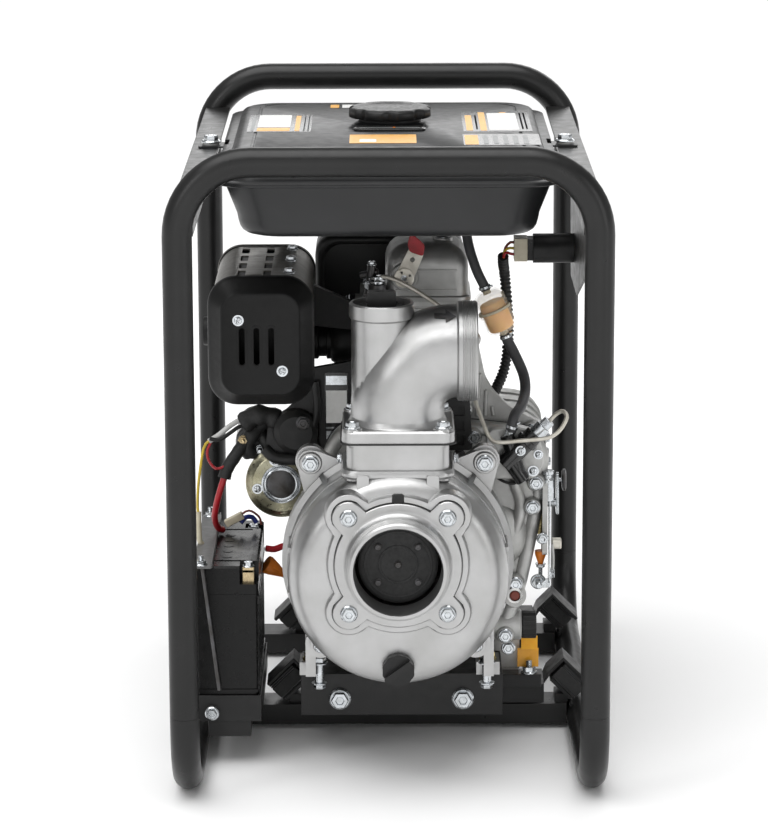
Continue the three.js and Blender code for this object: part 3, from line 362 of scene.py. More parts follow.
# ---------------------------------------------------------------- materials
def surface(name, base, worn, rough, spread=0.08, metal=0.0, mottle=25.0, grain=1200.0, bump=0.2,
            depth=0.0002, dust=0.0, stretch=(1, 1, 1), grime=0.0, coat=0.0, streak=0.0, gloss=0.5):
    """Layered finish: mottled colour, uneven gloss, fine grain, dust on top faces, painted shade in corners.
    """
    material = bpy.data.materials.new(name)
    material.use_nodes = True
    tree = material.node_tree
    shader = tree.nodes["Principled BSDF"]
    shader.inputs["Metallic"].default_value = metal
    shader.inputs["Specular IOR Level"].default_value = gloss
    if coat:
        shader.inputs["Coat Weight"].default_value = coat
        shader.inputs["Coat Roughness"].default_value = 0.15
    link = tree.links.new
    place = tree.nodes.new("ShaderNodeTexCoord")
    mapping = tree.nodes.new("ShaderNodeMapping")
    mapping.inputs["Scale"].default_value = stretch
    link(place.outputs["Object"], mapping.inputs["Vector"])

    def noise(scale, detail=4.0):
        made = tree.nodes.new("ShaderNodeTexNoise")
        made.inputs["Scale"].default_value = scale
        made.inputs["Detail"].default_value = detail
        link(mapping.outputs["Vector"], made.inputs["Vector"])
        return made.outputs["Fac"]

    def ramped(value, low, high, out_low=0.0, out_high=1.0):
        made = tree.nodes.new("ShaderNodeMapRange")
        made.inputs["From Min"].default_value = low
        made.inputs["From Max"].default_value = high
        made.inputs["To Min"].default_value = out_low
        made.inputs["To Max"].default_value = out_high
        link(value, made.inputs["Value"])
        return made.outputs["Result"]

    def mixed(factor, first, second):
        made = tree.nodes.new("ShaderNodeMix")
        made.data_type = "RGBA"
        link(factor, made.inputs["Factor"])
        for socket, colour in (("A", first), ("B", second)):
            target = [s for s in made.inputs if s.name == socket and s.type == "RGBA"][0]
            if isinstance(colour, tuple):
                target.default_value = (*colour, 1)
            else:
                link(colour, target)
        return [s for s in made.outputs if s.type == "RGBA"][0]

    colour = mixed(ramped(noise(mottle, 6.0), 0.35, 0.68), base, worn)
    roughness = ramped(noise(mottle * 5, 6.0), 0.3, 0.7, rough - spread, rough + spread)
    if streak:
        lines = ramped(noise(mottle * 14, 2.0), 0.62, 0.74, 0.0, streak)
        pale = tuple(min(1.0, c * 1.6 + 0.02) for c in base)
        colour = mixed(lines, colour, pale)
    # painted shade: an ambient-occlusion node darkens the colour in corners and crevices, where shade falls
    if grime:
        occlusion_shade = tree.nodes.new("ShaderNodeAmbientOcclusion")
        occlusion_shade.samples = 4
        occlusion_shade.inputs["Distance"].default_value = 0.008
        colour = mixed(ramped(occlusion_shade.outputs["AO"], 0.75, 0.3, 0.0, grime), colour,
                       tuple(c * 0.25 for c in base))
    if dust:
        geometry = tree.nodes.new("ShaderNodeNewGeometry")
        split = tree.nodes.new("ShaderNodeSeparateXYZ")
        link(geometry.outputs["Normal"], split.inputs["Vector"])
        layer = tree.nodes.new("ShaderNodeMath")
        layer.operation = "MULTIPLY"
        link(ramped(split.outputs["Z"], 0.5, 1.0, 0.0, dust), layer.inputs[0])
        link(ramped(noise(mottle * 3, 8.0), 0.35, 0.7), layer.inputs[1])
        colour = mixed(layer.outputs["Value"], colour, (0.32, 0.31, 0.29))
    link(colour, shader.inputs["Base Color"])
    link(roughness, shader.inputs["Roughness"])
    relief = tree.nodes.new("ShaderNodeBump")
    relief.inputs["Strength"].default_value = bump
    relief.inputs["Distance"].default_value = depth
    link(noise(grain, 3.0), relief.inputs["Height"])
    link(relief.outputs["Normal"], shader.inputs["Normal"])
    return material


def shade(value, tint=(1, 1, 1)):
    return tuple(value * t for t in tint)


def finishes():
    """Every material of the object, by name."""
    made = {}

    def keep(name, *args, **kwargs):
        made[name] = surface(name, *args, **kwargs)

    keep("powder_coat", shade(0.008), shade(0.011), 0.33, spread=0.06, mottle=12, grain=1500, dust=0.02,
         streak=0.03, gloss=0.36)
    keep("bracket_paint", shade(0.008), shade(0.013), 0.4, mottle=20, grain=1300, bump=0.22, dust=0.04,
         streak=0.08, grime=0.3, gloss=0.36)
    keep("tank_plastic", shade(0.016, (0.97, 1, 1.05)), shade(0.02, (0.97, 1, 1.05)), 0.36, spread=0.05,
         mottle=15, grain=1800, bump=0.15, depth=0.0001, dust=0.02, gloss=0.4)
    keep("clamp_paint", shade(0.11), shade(0.14), 0.45, mottle=20, grain=1300, bump=0.15, depth=0.0001)
    keep("muffler_paint", shade(0.004), shade(0.006), 0.44, spread=0.06, mottle=30, grain=1600, bump=0.25,
         dust=0.01, gloss=0.24)
    keep("shield_steel", (0.3, 0.29, 0.27), (0.19, 0.18, 0.16), 0.36, spread=0.1, metal=1.0, mottle=14,
         grain=700, bump=0.12, stretch=(1, 14, 1), grime=0.5)
    keep("cast_aluminium", (0.49, 0.49, 0.49), (0.43, 0.43, 0.425), 0.36, spread=0.05, metal=1.0,
         mottle=22, grain=1700, bump=0.25, depth=0.00025, grime=0.6)
    keep("machined", (0.74, 0.735, 0.72), (0.64, 0.635, 0.62), 0.24, spread=0.06, metal=1.0, mottle=60,
         grain=900, bump=0.1, depth=0.0001, grime=0.4)
    keep("engine_casting", (0.56, 0.56, 0.55), (0.4, 0.4, 0.385), 0.46, spread=0.1, metal=0.8, mottle=28,
         grain=1300, bump=0.5, depth=0.0006, grime=0.7)
    keep("cover_paint", (0.46, 0.46, 0.45), (0.34, 0.34, 0.33), 0.42, metal=0.7, mottle=30, grain=1400,
         bump=0.3, depth=0.0003, grime=0.6)
    keep("zinc", (0.66, 0.69, 0.72), (0.5, 0.52, 0.53), 0.22, metal=1.0, mottle=150, grain=1500, bump=0.1,
         depth=0.0001, grime=0.6)
    keep("yellow_zinc", (0.62, 0.52, 0.26), (0.4, 0.32, 0.15), 0.3, spread=0.1, metal=1.0, mottle=120,
         bump=0.15, grime=0.5)
    keep("olive_zinc", (0.47, 0.45, 0.33), (0.33, 0.31, 0.21), 0.33, spread=0.1, metal=1.0, mottle=60,
         grain=900, grime=0.5)
    keep("dark_steel", (0.12, 0.12, 0.125), (0.06, 0.055, 0.05), 0.4, spread=0.12, metal=0.9, mottle=50,
         grain=900, bump=0.25, grime=0.5)
    keep("iron", (0.16, 0.15, 0.145), (0.09, 0.08, 0.07), 0.55, spread=0.12, metal=0.8, mottle=40,
         grain=700, bump=0.5, depth=0.0005)
    keep("black_plastic", shade(0.006), shade(0.009), 0.38, mottle=40, grain=1600, bump=0.15, dust=0.02,
         gloss=0.38)
    keep("gloss_black", shade(0.006), shade(0.009), 0.24, spread=0.05, mottle=40, grain=900, bump=0.05,
         coat=0.3, dust=0.03)
    keep("battery_case", shade(0.004), shade(0.005), 0.26, spread=0.04, mottle=14, grain=1500, bump=0.04,
         gloss=0.24)
    keep("rubber", shade(0.009), shade(0.015), 0.6, spread=0.1, mottle=60, grain=1300, bump=0.35)
    keep("hose", shade(0.05, (1, 1, 1.06)), shade(0.06, (1, 1, 1.06)), 0.5, mottle=60, grain=1100,
         bump=0.3)
    keep("brass", (0.62, 0.5, 0.3), (0.42, 0.33, 0.2), 0.3, spread=0.1, metal=1.0, mottle=120, grain=900,
         grime=0.5)
    keep("beige_metal", (0.72, 0.69, 0.62), (0.55, 0.52, 0.45), 0.4, spread=0.1, metal=0.7, mottle=90,
         grain=900, grime=0.5)
    keep("red_plastic", (0.42, 0.012, 0.02), (0.3, 0.01, 0.015), 0.35, mottle=90, grain=900, bump=0.15)
    keep("orange_plastic", (0.85, 0.24, 0.02), (0.7, 0.18, 0.015), 0.38, mottle=90, grain=900)
    keep("yellow_wire", (0.62, 0.45, 0.04), (0.5, 0.36, 0.03), 0.38, mottle=90, grain=900, bump=0.1)
    keep("blue_wire", (0.02, 0.04, 0.25), (0.015, 0.03, 0.18), 0.38, mottle=90, grain=900, bump=0.1)
    keep("white_sleeve", (0.55, 0.55, 0.54), (0.42, 0.42, 0.4), 0.45, mottle=90, grain=900)
    keep("cream_plastic", (0.6, 0.55, 0.42), (0.5, 0.45, 0.33), 0.42, mottle=90, grain=900)
    keep("label_white", (0.86, 0.86, 0.84), (0.78, 0.78, 0.76), 0.35, spread=0.05, mottle=90, grain=900,
         bump=0.05)
    keep("label_amber", (0.9, 0.44, 0.03), (0.82, 0.38, 0.025), 0.35, spread=0.05, mottle=90, grain=900,
         bump=0.05)
    keep("label_grey", (0.2, 0.21, 0.21), (0.16, 0.17, 0.17), 0.35, spread=0.05, mottle=90, grain=900,
         bump=0.05)
    keep("red_oxide", (0.2, 0.035, 0.02), (0.14, 0.025, 0.015), 0.45, mottle=90, grain=900)
    keep("filter_element", (1.0, 0.52, 0.03), (0.98, 0.42, 0.02), 0.6, mottle=90, grain=600, bump=0.5)
    shell = surface("filter_shell", (0.97, 0.9, 0.76), (0.94, 0.86, 0.7), 0.34, spread=0.03, mottle=30,
                    grain=300, bump=0.02)
    made["filter_shell"] = shell
    glass = shell.node_tree.nodes["Principled BSDF"]
    glass.inputs["Alpha"].default_value = 0.2
    return made


LOOK = finishes()


# ---------------------------------------------------------------- fasteners
def turned_part(axis, profile, a, b, facing, base, sides=FINE, turn=0.0):
    """A turned part whose profile is measured outwards from its seat; facing is 1 or -1."""
    return turned(axis, [(r, base + facing * h) for r, h in profile], a, b, sides, turn)


def bolt(axis, a, b, base, facing, size=6.5, washer=None, turn=0.0):
    """Flange bolt: a washer face, a chamfered hexagon and the dished mark on its top."""
    plate = washer or size * 1.45
    disc = [(0, 0), (plate, 0), (plate, size * 0.16), (plate * 0.86, size * 0.36), (0, size * 0.36)]
    across = size / math.cos(math.pi / 6)
    head = [(0, size * 0.2), (across, size * 0.2), (across, size * 0.95), (across * 0.9, size * 1.1),
            (size * 0.62, size * 1.1), (size * 0.5, size * 0.95), (0, size * 0.95)]
    return [turned_part(axis, disc, a, b, facing, base, ROUND),
            turned_part(axis, head, a, b, facing, base, 6, turn)]


def screw(axis, a, b, base, facing, size=5.0, turn=0.4):
    """Pan-head screw with a cross recess, on a washer."""
    disc = [(0, 0), (size * 1.45, 0), (size * 1.45, size * 0.22), (0, size * 0.22)]
    head = [(0, 0.1), (size, 0.1), (size, size * 0.42), (size * 0.86, size * 0.7), (size * 0.5, size * 0.88),
            (0, size * 0.92)]
    dome = turned_part(axis, head, a, b, facing, base, ROUND)
    slots = []
    for k in range(2):
        angle = turn + k * math.pi / 2
        along = Vector((math.cos(angle), math.sin(angle))) * size * 0.55
        side = Vector((-math.sin(angle), math.cos(angle))) * size * 0.11
        corners = [along + side, along - side, -along - side, -along + side]
        outline = [(a + c.x, b + c.y) for c in corners]
        depth = sorted([base + facing * size * 0.5, base + facing * size * 1.2])
        slots.append(prism(axis, outline, *depth))
    return [turned_part(axis, disc, a, b, facing, base, ROUND), cut(dome, *slots)]


def stud_nut(axis, a, b, base, facing, size=6.5, stud=9.0):
    """A washer and a nut with the threaded end of its stud standing out."""
    thread = [(0, 0)]
    turns = int(stud / 1.4)
    for k in range(turns):
        thread += [(size * 0.52, k * 1.4 + 0.2), (size * 0.6, k * 1.4 + 0.9)]
    thread += [(size * 0.42, stud), (0, stud)]
    parts = bolt(axis, a, b, base, facing, size)
    parts.append(turned_part(axis, [(r, h + size * 0.9) for r, h in thread], a, b, facing, base, SMALL))
    return parts


# ---------------------------------------------------------------- frame
def tubes():
    low, high = mm_box("front_hoop")
    tube = (high.y - low.y) / 2
    post = high.x - tube
    foot = low.z
    top = high.z - tube
    floor = tube + 0.02
    paint = "powder_coat"
    for name in ("front_hoop", "rear_hoop"):
        low, high = mm_box(name)
        y = (low.y + high.y) / 2
        corners = [(-post, y, foot), (-post, y, top), (post, y, top), (post, y, foot)]
        piece(f"{name}_tube", swept(bent_path(corners, TUBE_BEND), tube, FINE), paint,
              replaces=[name])
    for name in ("runner_left", "runner_right"):
        low, high = mm_box(name)
        x = (low.x + high.x) / 2
        y = high.y - tube
        end = high.z
        corners = [(x, -y, end), (x, -y, floor), (x, y, floor), (x, y, end)]
        piece(f"{name}_tube", swept(bent_path(corners, TUBE_BEND), tube, FINE), paint,
              replaces=[name])


def weld_bead(outline, axis, place, size=2.2):
    path = smooth_path([at(axis, u, v, place) for u, v in outline + outline[:1]], 1.6)
    return swept(path, size, 8, wave=lambda i: 1 + 0.22 * math.sin(i * 1.9))


def frame_plates():
    for name in ("cross_member_front", "cross_member_rear", "side_rail_left", "side_rail_right"):
        dress(name, "powder_coat", 0.8)
    for name in ("cradle_front", "cradle_rear", "pump_bracket", "battery_tray", "key_panel"):
        dress(name, "bracket_paint", 0.7)
    beads = []
    for name in ("cross_member_front", "cross_member_rear"):
        low, high = mm_box(name)
        top = low.z + 25
        outline = rounded(low.y + 0.5, low.z + 0.5, high.y - 0.5, top - 0.5, 2, 2)
        beads += [weld_bead(outline, "x", x) for x in (low.x + 1, high.x - 1)]
    piece("frame_welds", beads, "powder_coat")
    rail_top = mm_box("side_rail_right")[1].z
    fasteners = []
    spacers = []
    for x in (-215, 215):
        fasteners += bolt("z", x, TANK_BOLT_Y, rail_top + 5.2, 1, 7.5, 12)
        spacers.append(bar("z", 10, rail_top + 2.5, rail_top + 5.2, x, TANK_BOLT_Y))
    piece("tank_bolts", fasteners, "zinc")
    piece("tank_bolt_spacers", spacers, "white_sleeve")


# ---------------------------------------------------------------- rubber mounts and their fasteners
def rubber_mounts():
    """Rubber blocks bonded to plates and set at 45 degrees between engine and frame."""
    across = 12.0
    along = 20.0
    for end in ("front", "rear"):
        for hand, side in (("left", -1), ("right", 1)):
            name = f"rubber_mount_{end}_{hand}"
            low, high = mm_box(name)
            centre = (low + high) / 2
            half = (high.y - low.y) / 2
            block = box(-along, -half, -across, along, half, across)
            grooves = [box(-along - 1, -half - 1, place, along + 1, half + 1, place + 0.9)
                       for place in (across - 2.6, across - 5.2, -across + 1.8)]
            core = box(-along + 1.6, -half + 1.6, -across + 0.5, along - 1.6, half - 1.6, across - 0.5)
            tilt = ("Y", side * math.radians(45))
            piece(f"{name}_block", moved(cut(block, *grooves), *centre, tilt), "rubber", replaces=[name],
                  bevel=0.9)
            piece(f"{name}_block_plates", moved(core, *centre, tilt), "dark_steel")


# ---------------------------------------------------------------- fuel tank
TANK = {"x": 187, "front": -298, "rear": 288, "lip": 12, "split": 717, "top": 731}


def tank_outline(inset, radius=44):
    return rounded(-TANK["x"] + inset, TANK["front"] + inset, TANK["x"] - inset, TANK["rear"] - inset,
                   radius, 10)


def tank_shells():
    split = TANK["split"]
    top = TANK["top"]
    lip = TANK["lip"]
    bottom = mm_box("tank_lower_shell")[0].z - TANK_DROP
    side = [(36, 0), (30, 0.6), (24, 2.6), (19.5, 6), (16.5, 11), (14.6, 18), (13.2, 26)]
    layers = [(tank_outline(inset, 44 - inset * 0.3), bottom + z) for inset, z in side]
    layers.append((tank_outline(0), split - 4))
    layers += [(tank_outline(-lip + 1.2), split - 3), (tank_outline(-lip), split - 2.2),
               (tank_outline(-lip), split)]
    ears = [prism("z", rounded(side_x * 212 - 18, -8, side_x * 212 + 18, 28, 5), split - 2.2, split)
            for side_x in (-1, 1)]
    piece("tank_lower", [loft("z", layers), *ears], "tank_plastic", replaces=["tank_lower_shell"])
    low = split + 0.3
    crown = [(-lip, low), (-lip, low + 1.6), (-lip + 1.2, low + 2.4), (0, low + 2.8), (0.8, 723),
             (2.5, 726.2), (5.5, 728.8), (9.5, 730.4), (14, top), (24, top + 0.1), (25, top - 0.8),
             (27, top - 0.8), (28.2, top + 0.2)]
    layers = [(tank_outline(inset, 44 - max(inset, 0) * 0.35), z) for inset, z in crown]
    notches = [box(sx * 212 - 19, -9, low - 1, sx * 212 + 19, 29, low + 12) for sx in (-1, 1)]
    low_cap, high_cap = mm_box("fuel_cap")
    x = (low_cap.x + high_cap.x) / 2
    y = (low_cap.y + high_cap.y) / 2
    spout = turned("z", [(0, top - 4), (48, top - 4), (48, top), (45, top + 1.4), (40, top + 2),
                         (38, top + 4), (38, 738.6), (0, 738.6)], x, y)
    shell = join(cut(loft("z", layers), *notches), spout)
    piece("tank_upper", shell, "tank_plastic", replaces=["tank_upper_shell"])


def fuel_cap():
    low, high = mm_box("fuel_cap")
    x = (low.x + high.x) / 2
    y = (low.y + high.y) / 2
    radius = (high.x - low.x) / 2
    base = 739
    top = high.z

    def ring(scale, depth):
        outline = []
        for i in range(192):
            angle = 2 * math.pi * i / 192
            dip = max(0.0, math.cos(8 * angle)) ** 1.5
            r = radius * scale - depth * dip
            outline.append((x + r * math.cos(angle), y + r * math.sin(angle)))
        return outline

    profile = [(0.9, 2, base), (0.98, 4.4, base + 0.6), (1.0, 4.8, base + 2), (1.0, 4.8, top - 4.5),
               (0.985, 4.4, top - 2.6), (0.95, 3.2, top - 1.2), (0.9, 1.5, top - 0.4), (0.82, 0, top),
               (0.62, 0, top), (0.58, 0, top - 0.8), (0.2, 0, top - 1.2)]
    cap = loft("z", [(ring(scale, depth), z) for scale, depth, z in profile])
    plug = bar("z", 33.5, low.z, base + 1, x, y, FINE)
    piece("fuel_cap_knob", [cap, plug], "black_plastic", body="fuel_cap", replaces=["fuel_cap"], sharp=50)


def gauge():
    top = TANK["top"]
    x0, x1, y0, y1 = -42, 46, 14, 40
    rim = rounded(x0, y0, x1, y1, 9)
    inner = rounded(x0 + 5, y0 + 6, x1 - 5, y1 - 6, 6)
    frame_part = cut(loft("z", [(rim, top - 0.5), (rim, top + 2.6),
                                (rounded(x0 + 2, y0 + 2, x1 - 2, y1 - 2, 8), top + 4)]),
                     prism("z", inner, top + 2, top + 6))
    piece("gauge_frame", frame_part, "gloss_black", sharp=50)
    piece("gauge_window", prism("z", inner, top + 1.9, top + 2.7), "label_grey")
    needle = box(6, 21, top + 2.7, 9, 33, top + 3.1)
    piece("gauge_needle", needle, "orange_plastic")


def tank_labels():
    """Blank panels: backing, coloured fields and no lettering."""
    top = TANK["top"] + 0.2

    def field(x0, y0, x1, y1, lift):
        return prism("z", rounded(x0, y0, x1, y1, 2, 3), top + lift, top + lift + 0.25)

    backs = [(-172, 14, -94, 162), (-73, 222, -28, 250), (92, 10, 176, 186), (90, -100, 182, -12)]
    amber = [(-160, 20, -120, 46), (-114, 20, -108, 150), (-46, -84, 34, -14), (-73, 222, -62, 250),
             (96, 20, 104, 150), (113, 18, 121, 176), (92, -96, 108, -20), (140, 130, 148, 176)]
    white = [(-160, 52, -120, 156), (-34, -74, -14, -52), (-58, 222, -30, 250), (124, 22, 160, 168)]
    grey = [(-104, 20, -101, 150), (-99, 20, -96, 150), (108, 30, 110, 150), (164, 30, 166, 170),
            (169, 30, 171, 170), (114, -92, 120, -24), (126, -92, 132, -24), (138, -92, 144, -24),
            (150, -92, 156, -24), (162, -92, 168, -24), (-168, 20, -164, 150)]
    layers = (("backs", backs, 0.0, "gloss_black"), ("amber", amber, 0.25, "label_amber"),
              ("white", white, 0.3, "label_white"), ("grey", grey, 0.25, "label_grey"))
    for name, fields, lift, look in layers:
        piece(f"tank_label_{name}", [field(*f, lift) for f in fields], look)


# ---------------------------------------------------------------- exhaust and intake
def bracket_bolts():
    front = mm_box("pump_bracket")[0].y + 7
    heads = [part for x in (-60, 88) for part in bolt("y", x, 72, front, -1, 9.2)]
    tray = mm_box("battery_tray")[0]
    heads += bolt("y", -212, 67.5, tray.y + 0.2, -1, 5.4, 8.4)
    for x in (-84, 116):
        heads += stud_nut("z", x, -205, 124, 1, 7, 8)
        heads.append(bar("z", 5.4, 100, 126, x, -205, SMALL))
        heads += bolt("z", x, -205, 100, -1, 6.4)
    piece("bracket_bolts", heads, "zinc")


def muffler():
    low, high = mm_box("muffler_front_cover")
    back = high.y
    front = low.y + 3

    def outline(inset, radius=34):
        return rounded(low.x + inset, low.z + inset, high.x - inset, high.z - inset, radius, 10)

    shell = [(-0.5, back, 34), (-0.5, back - 8, 34), (0.3, back - 11, 34), (2.4, back - 13.5, 33),
             (14.6, front + 3, 23), (15.6, front + 1, 22), (16.8, front + 0.2, 21.4), (18.5, front, 21)]
    pan = loft("y", [(outline(inset, radius), y) for inset, y, radius in shell])
    hollow = loft("y", [(outline(2.5, 32), back + 1), (outline(2.5, 32), back - 7),
                        (outline(19, 22), front + 4)])
    slots = []
    rims = []
    for x in (-170, -153, -136):
        slots.append(prism("y", rounded(x - 3.4, 497, x + 3.4, 541, 3.3, 6), front - 3, front + 8))
        rims.append(cut(prism("y", rounded(x - 5.6, 494.5, x + 5.6, 543.5, 5.5, 6), front - 0.9, front + 1),
                        prism("y", rounded(x - 4.2, 496, x + 4.2, 542, 4.1, 6), front - 2, front + 0.1)))
    cover = join(pan, *rims)
    piece("muffler_cover", cut(cover, hollow, *slots), "muffler_paint", replaces=["muffler_front_cover"],
          sharp=40)
    heads = screw("y", -174, 550, front, -1, 4.5) + screw("y", -123.5, 490, front, -1, 4.5, 1.1)
    piece("muffler_screws", heads, "zinc")
    muffler_body(low, high)
    heat_shield()


def muffler_body(low, high):
    body_low = mm_box("muffler_body")[0]
    a, b, c, d = low.x + 9, low.z + 9, high.x - 9, high.z - 9
    can = loft("y", [(rounded(a + 4, b + 4, c - 4, d - 4, 24), body_low.y),
                     (rounded(a, b, c, d, 26), body_low.y + 4), (rounded(a, b, c, d, 26), -8),
                     (rounded(a + 4, b + 4, c - 4, d - 4, 24), -4)])
    seams = [cut(prism("y", rounded(a - 1.5, b - 1.5, c + 1.5, d + 1.5, 27), y, y + 2.5),
                 prism("y", rounded(a, b, c, d, 26), y - 1, y + 3.5)) for y in (-205, -14)]
    seams.append(prism("y", rounded(a - 6.4, b - 6.4, c + 6.4, d + 6.4, 29), -9, -5))
    stub = turned("x", [(14, body_low.x), (16.4, body_low.x), (17, body_low.x + 1), (17, a + 3), (14, a + 3),
                        (14, body_low.x)], -150, 518)
    path = bent_path([(high.x - 11, -30, 508), (-68, -30, 508), (-68, 8, 508), (-42, 8, 508)], 14, 8)
    pipe = swept(path, 12, ROUND)
    collar = [turned("x", [(11, x), (14.5, x), (15, x + 1), (15, x + 5), (14.5, x + 6), (11, x + 6),
                           (11, x)], -30, 508) for x in (-92, -84)]
    flange = prism("x", rounded(-12, 488, 28, 528, 8), -47, -41.5)
    brace = prism("y", filleted([(-95, 558), (-95, 506), (-40, 500), (-40, 534)], 4), -60, -57)
    fold = prism("y", filleted([(-95, 559), (-95, 556), (-40, 532), (-40, 535)], 1), -68, -57)
    trunk = turned("x", [(0, -93), (19, -93), (21, -91), (21, -86), (18, -84), (18, -76), (21, -75),
                         (21, -68), (17, -66), (0, -66)], -40, 482)
    port = turned("x", [(0, -70), (23, -70), (26, -66), (27, -54), (24, -40), (0, -40)], -40, 482)
    parts = [can, *seams, stub, pipe, *collar, flange, brace, fold, trunk, port]
    piece("muffler_can", parts, "muffler_paint", replaces=["muffler_body"], sharp=40)
    nuts = stud_nut("x", -6, 494, -47, -1, 5, 8) + stud_nut("x", 22, 522, -47, -1, 5, 8)
    piece("exhaust_flange_nuts", nuts, "zinc")


def heat_shield():
    box_low, box_high = mm_box("muffler_heat_shield")
    y0, y1 = box_low.y, box_high.y
    a, b, c, d = box_low.x, box_low.z, box_high.x, box_high.z
    lipped = [(0, y0), (0, y1 - 4), (-1.2, y1 - 2.5), (-1.4, y1 - 1), (0, y1)]
    outer = loft("y", [(rounded(a + i, b + i, c - i, d - i, 31, 10), y) for i, y in lipped])
    inner = prism("y", rounded(a + 2, b + 2, c - 2, d - 2, 29, 10), y0 - 1, y1 + 1)
    holes = [prism("z", rounded(x - 4.6, y, x + 4.6, y + 34, 1.6, 3), d - 5, d + 3)
             for x in (-172, -142) for y in (-204, -155, -106, -57)]
    side_gaps = [box(a - 4, -172, 496, a + 4, -128, 540), box(c - 4, -60, 480, c + 4, y1 + 3, 540)]
    ribs = [prism("z", rounded(-166, y, -148, y + 2.4, 1, 3), d - 1, d + 0.9) for y in (-206, -201, -196)]
    shell = cut(join(outer, *ribs), inner, *holes, *side_gaps)
    piece("muffler_shield", shell, "shield_steel", replaces=["muffler_heat_shield"], sharp=40)
    nuts = [part for y in (-184, -104, -30) for part in bolt("z", -116, y, d, 1, 5)]
    piece("shield_nuts", nuts, "zinc")


def air_cleaner():
    low, high = mm_box("air_cleaner")

    def outline(inset):
        return rounded(low.x + inset, low.z + inset, high.x - inset, high.z - inset, 26 - inset * 0.4, 10)

    y0, y1 = low.y, high.y
    layers = [(14, y0 + 5), (12, y0 + 5), (9.5, y0 + 0.6), (8, y0), (5, y0), (2, y0 + 1.5), (0, y0 + 5),
              (0, y0 + 30), (0, y0 + 31), (1.6, y0 + 32), (1.6, y0 + 34), (0, y0 + 35), (0, y1 - 12),
              (2, y1 - 6), (6, y1 - 2), (12, y1)]
    body = loft("y", [(outline(inset), y) for inset, y in layers])
    intake = prism("x", rounded(100, 505, 150, 550, 6), low.x - 2, low.x + 10)
    piece("air_cleaner_box", cut(body, intake), "black_plastic", replaces=["air_cleaner"], sharp=40)
    slats = [box(low.x + 3, 100, z, low.x + 5, 150, z + 2.5) for z in range(508, 548, 7)]
    knob = turned_part("y", [(0, 0), (15, 0), (15, 6), (12, 9), (0, 10)], 0, 530, 1, y1 - 0.5)
    ribs = [prism("y", rounded(x - 3, 490, x + 3, 568, 2.5, 4), y1 - 1, y1 + 2.2)
            for x in (-60, -45, -30, 34, 49, 64)]
    piece("air_cleaner_details", [*slats, knob, *ribs], "black_plastic", bevel=0.5)


# ---------------------------------------------------------------- engine
CASE = [(-86, 128), (138, 128), (162, 190), (184, 300), (190, 372), (168, 392), (96, 400), (-60, 400),
        (-86, 350)]


def case_outline(grow=0.0):
    centre = Vector((50, 265))
    corners = []
    for occlusion_shade in CASE:
        away = Vector(occlusion_shade) - centre
        corners.append(tuple(Vector(occlusion_shade) + away.normalized() * grow))
    return filleted(corners, 26, 8)


def crankcase():
    body = loft("y", [(case_outline(), -103.7), (case_outline(), 92), (case_outline(-4), 100)])
    ribs = [prism("y", case_outline(2.4), y, y + 5) for y in (-60, -20, 20, 60)]
    rails = []
    for x0, x1 in ((-78, -46), (128, 160)):
        rails += [box(x0, -80, 60.3, x1, 245, 76), box(x0, -70, 75, x1, 80, 135)]
    hollow = prism("y", [(SHAFT.x + (u - SHAFT.x) * 0.88, SHAFT.z + (v - SHAFT.z) * 0.88) for u, v in CASE],
                   -106, 88)
    boss = bar("x", 26, 150, 193, -10, 330, FINE)
    hub = bar("y", 44, 98, 108, SHAFT.x, SHAFT.z, FINE)
    solid_body = join(body, *ribs, *rails, boss, hub)
    hollowed = cut(solid_body, hollow, bar("z", 43.5, 370, 410, 30, 5, FINE),
                   bar("y", CRANK_BORE, 80, 112, SHAFT.x, SHAFT.z))
    piece("crankcase_casting", hollowed, "engine_casting", replaces=["crankcase"], bevel=1.4)
    nuts = [part for x in (-62, 144) for y in (-46, 222) for part in stud_nut("z", x, y, 76, 1, 6.5, 10)]
    side = [part for y, z in ((-34, 330), (14, 330), (-10, 354), (-10, 306))
            for part in bolt("x", y, z, 193, 1, 5)]
    piece("crankcase_bolts", nuts + side, "zinc")


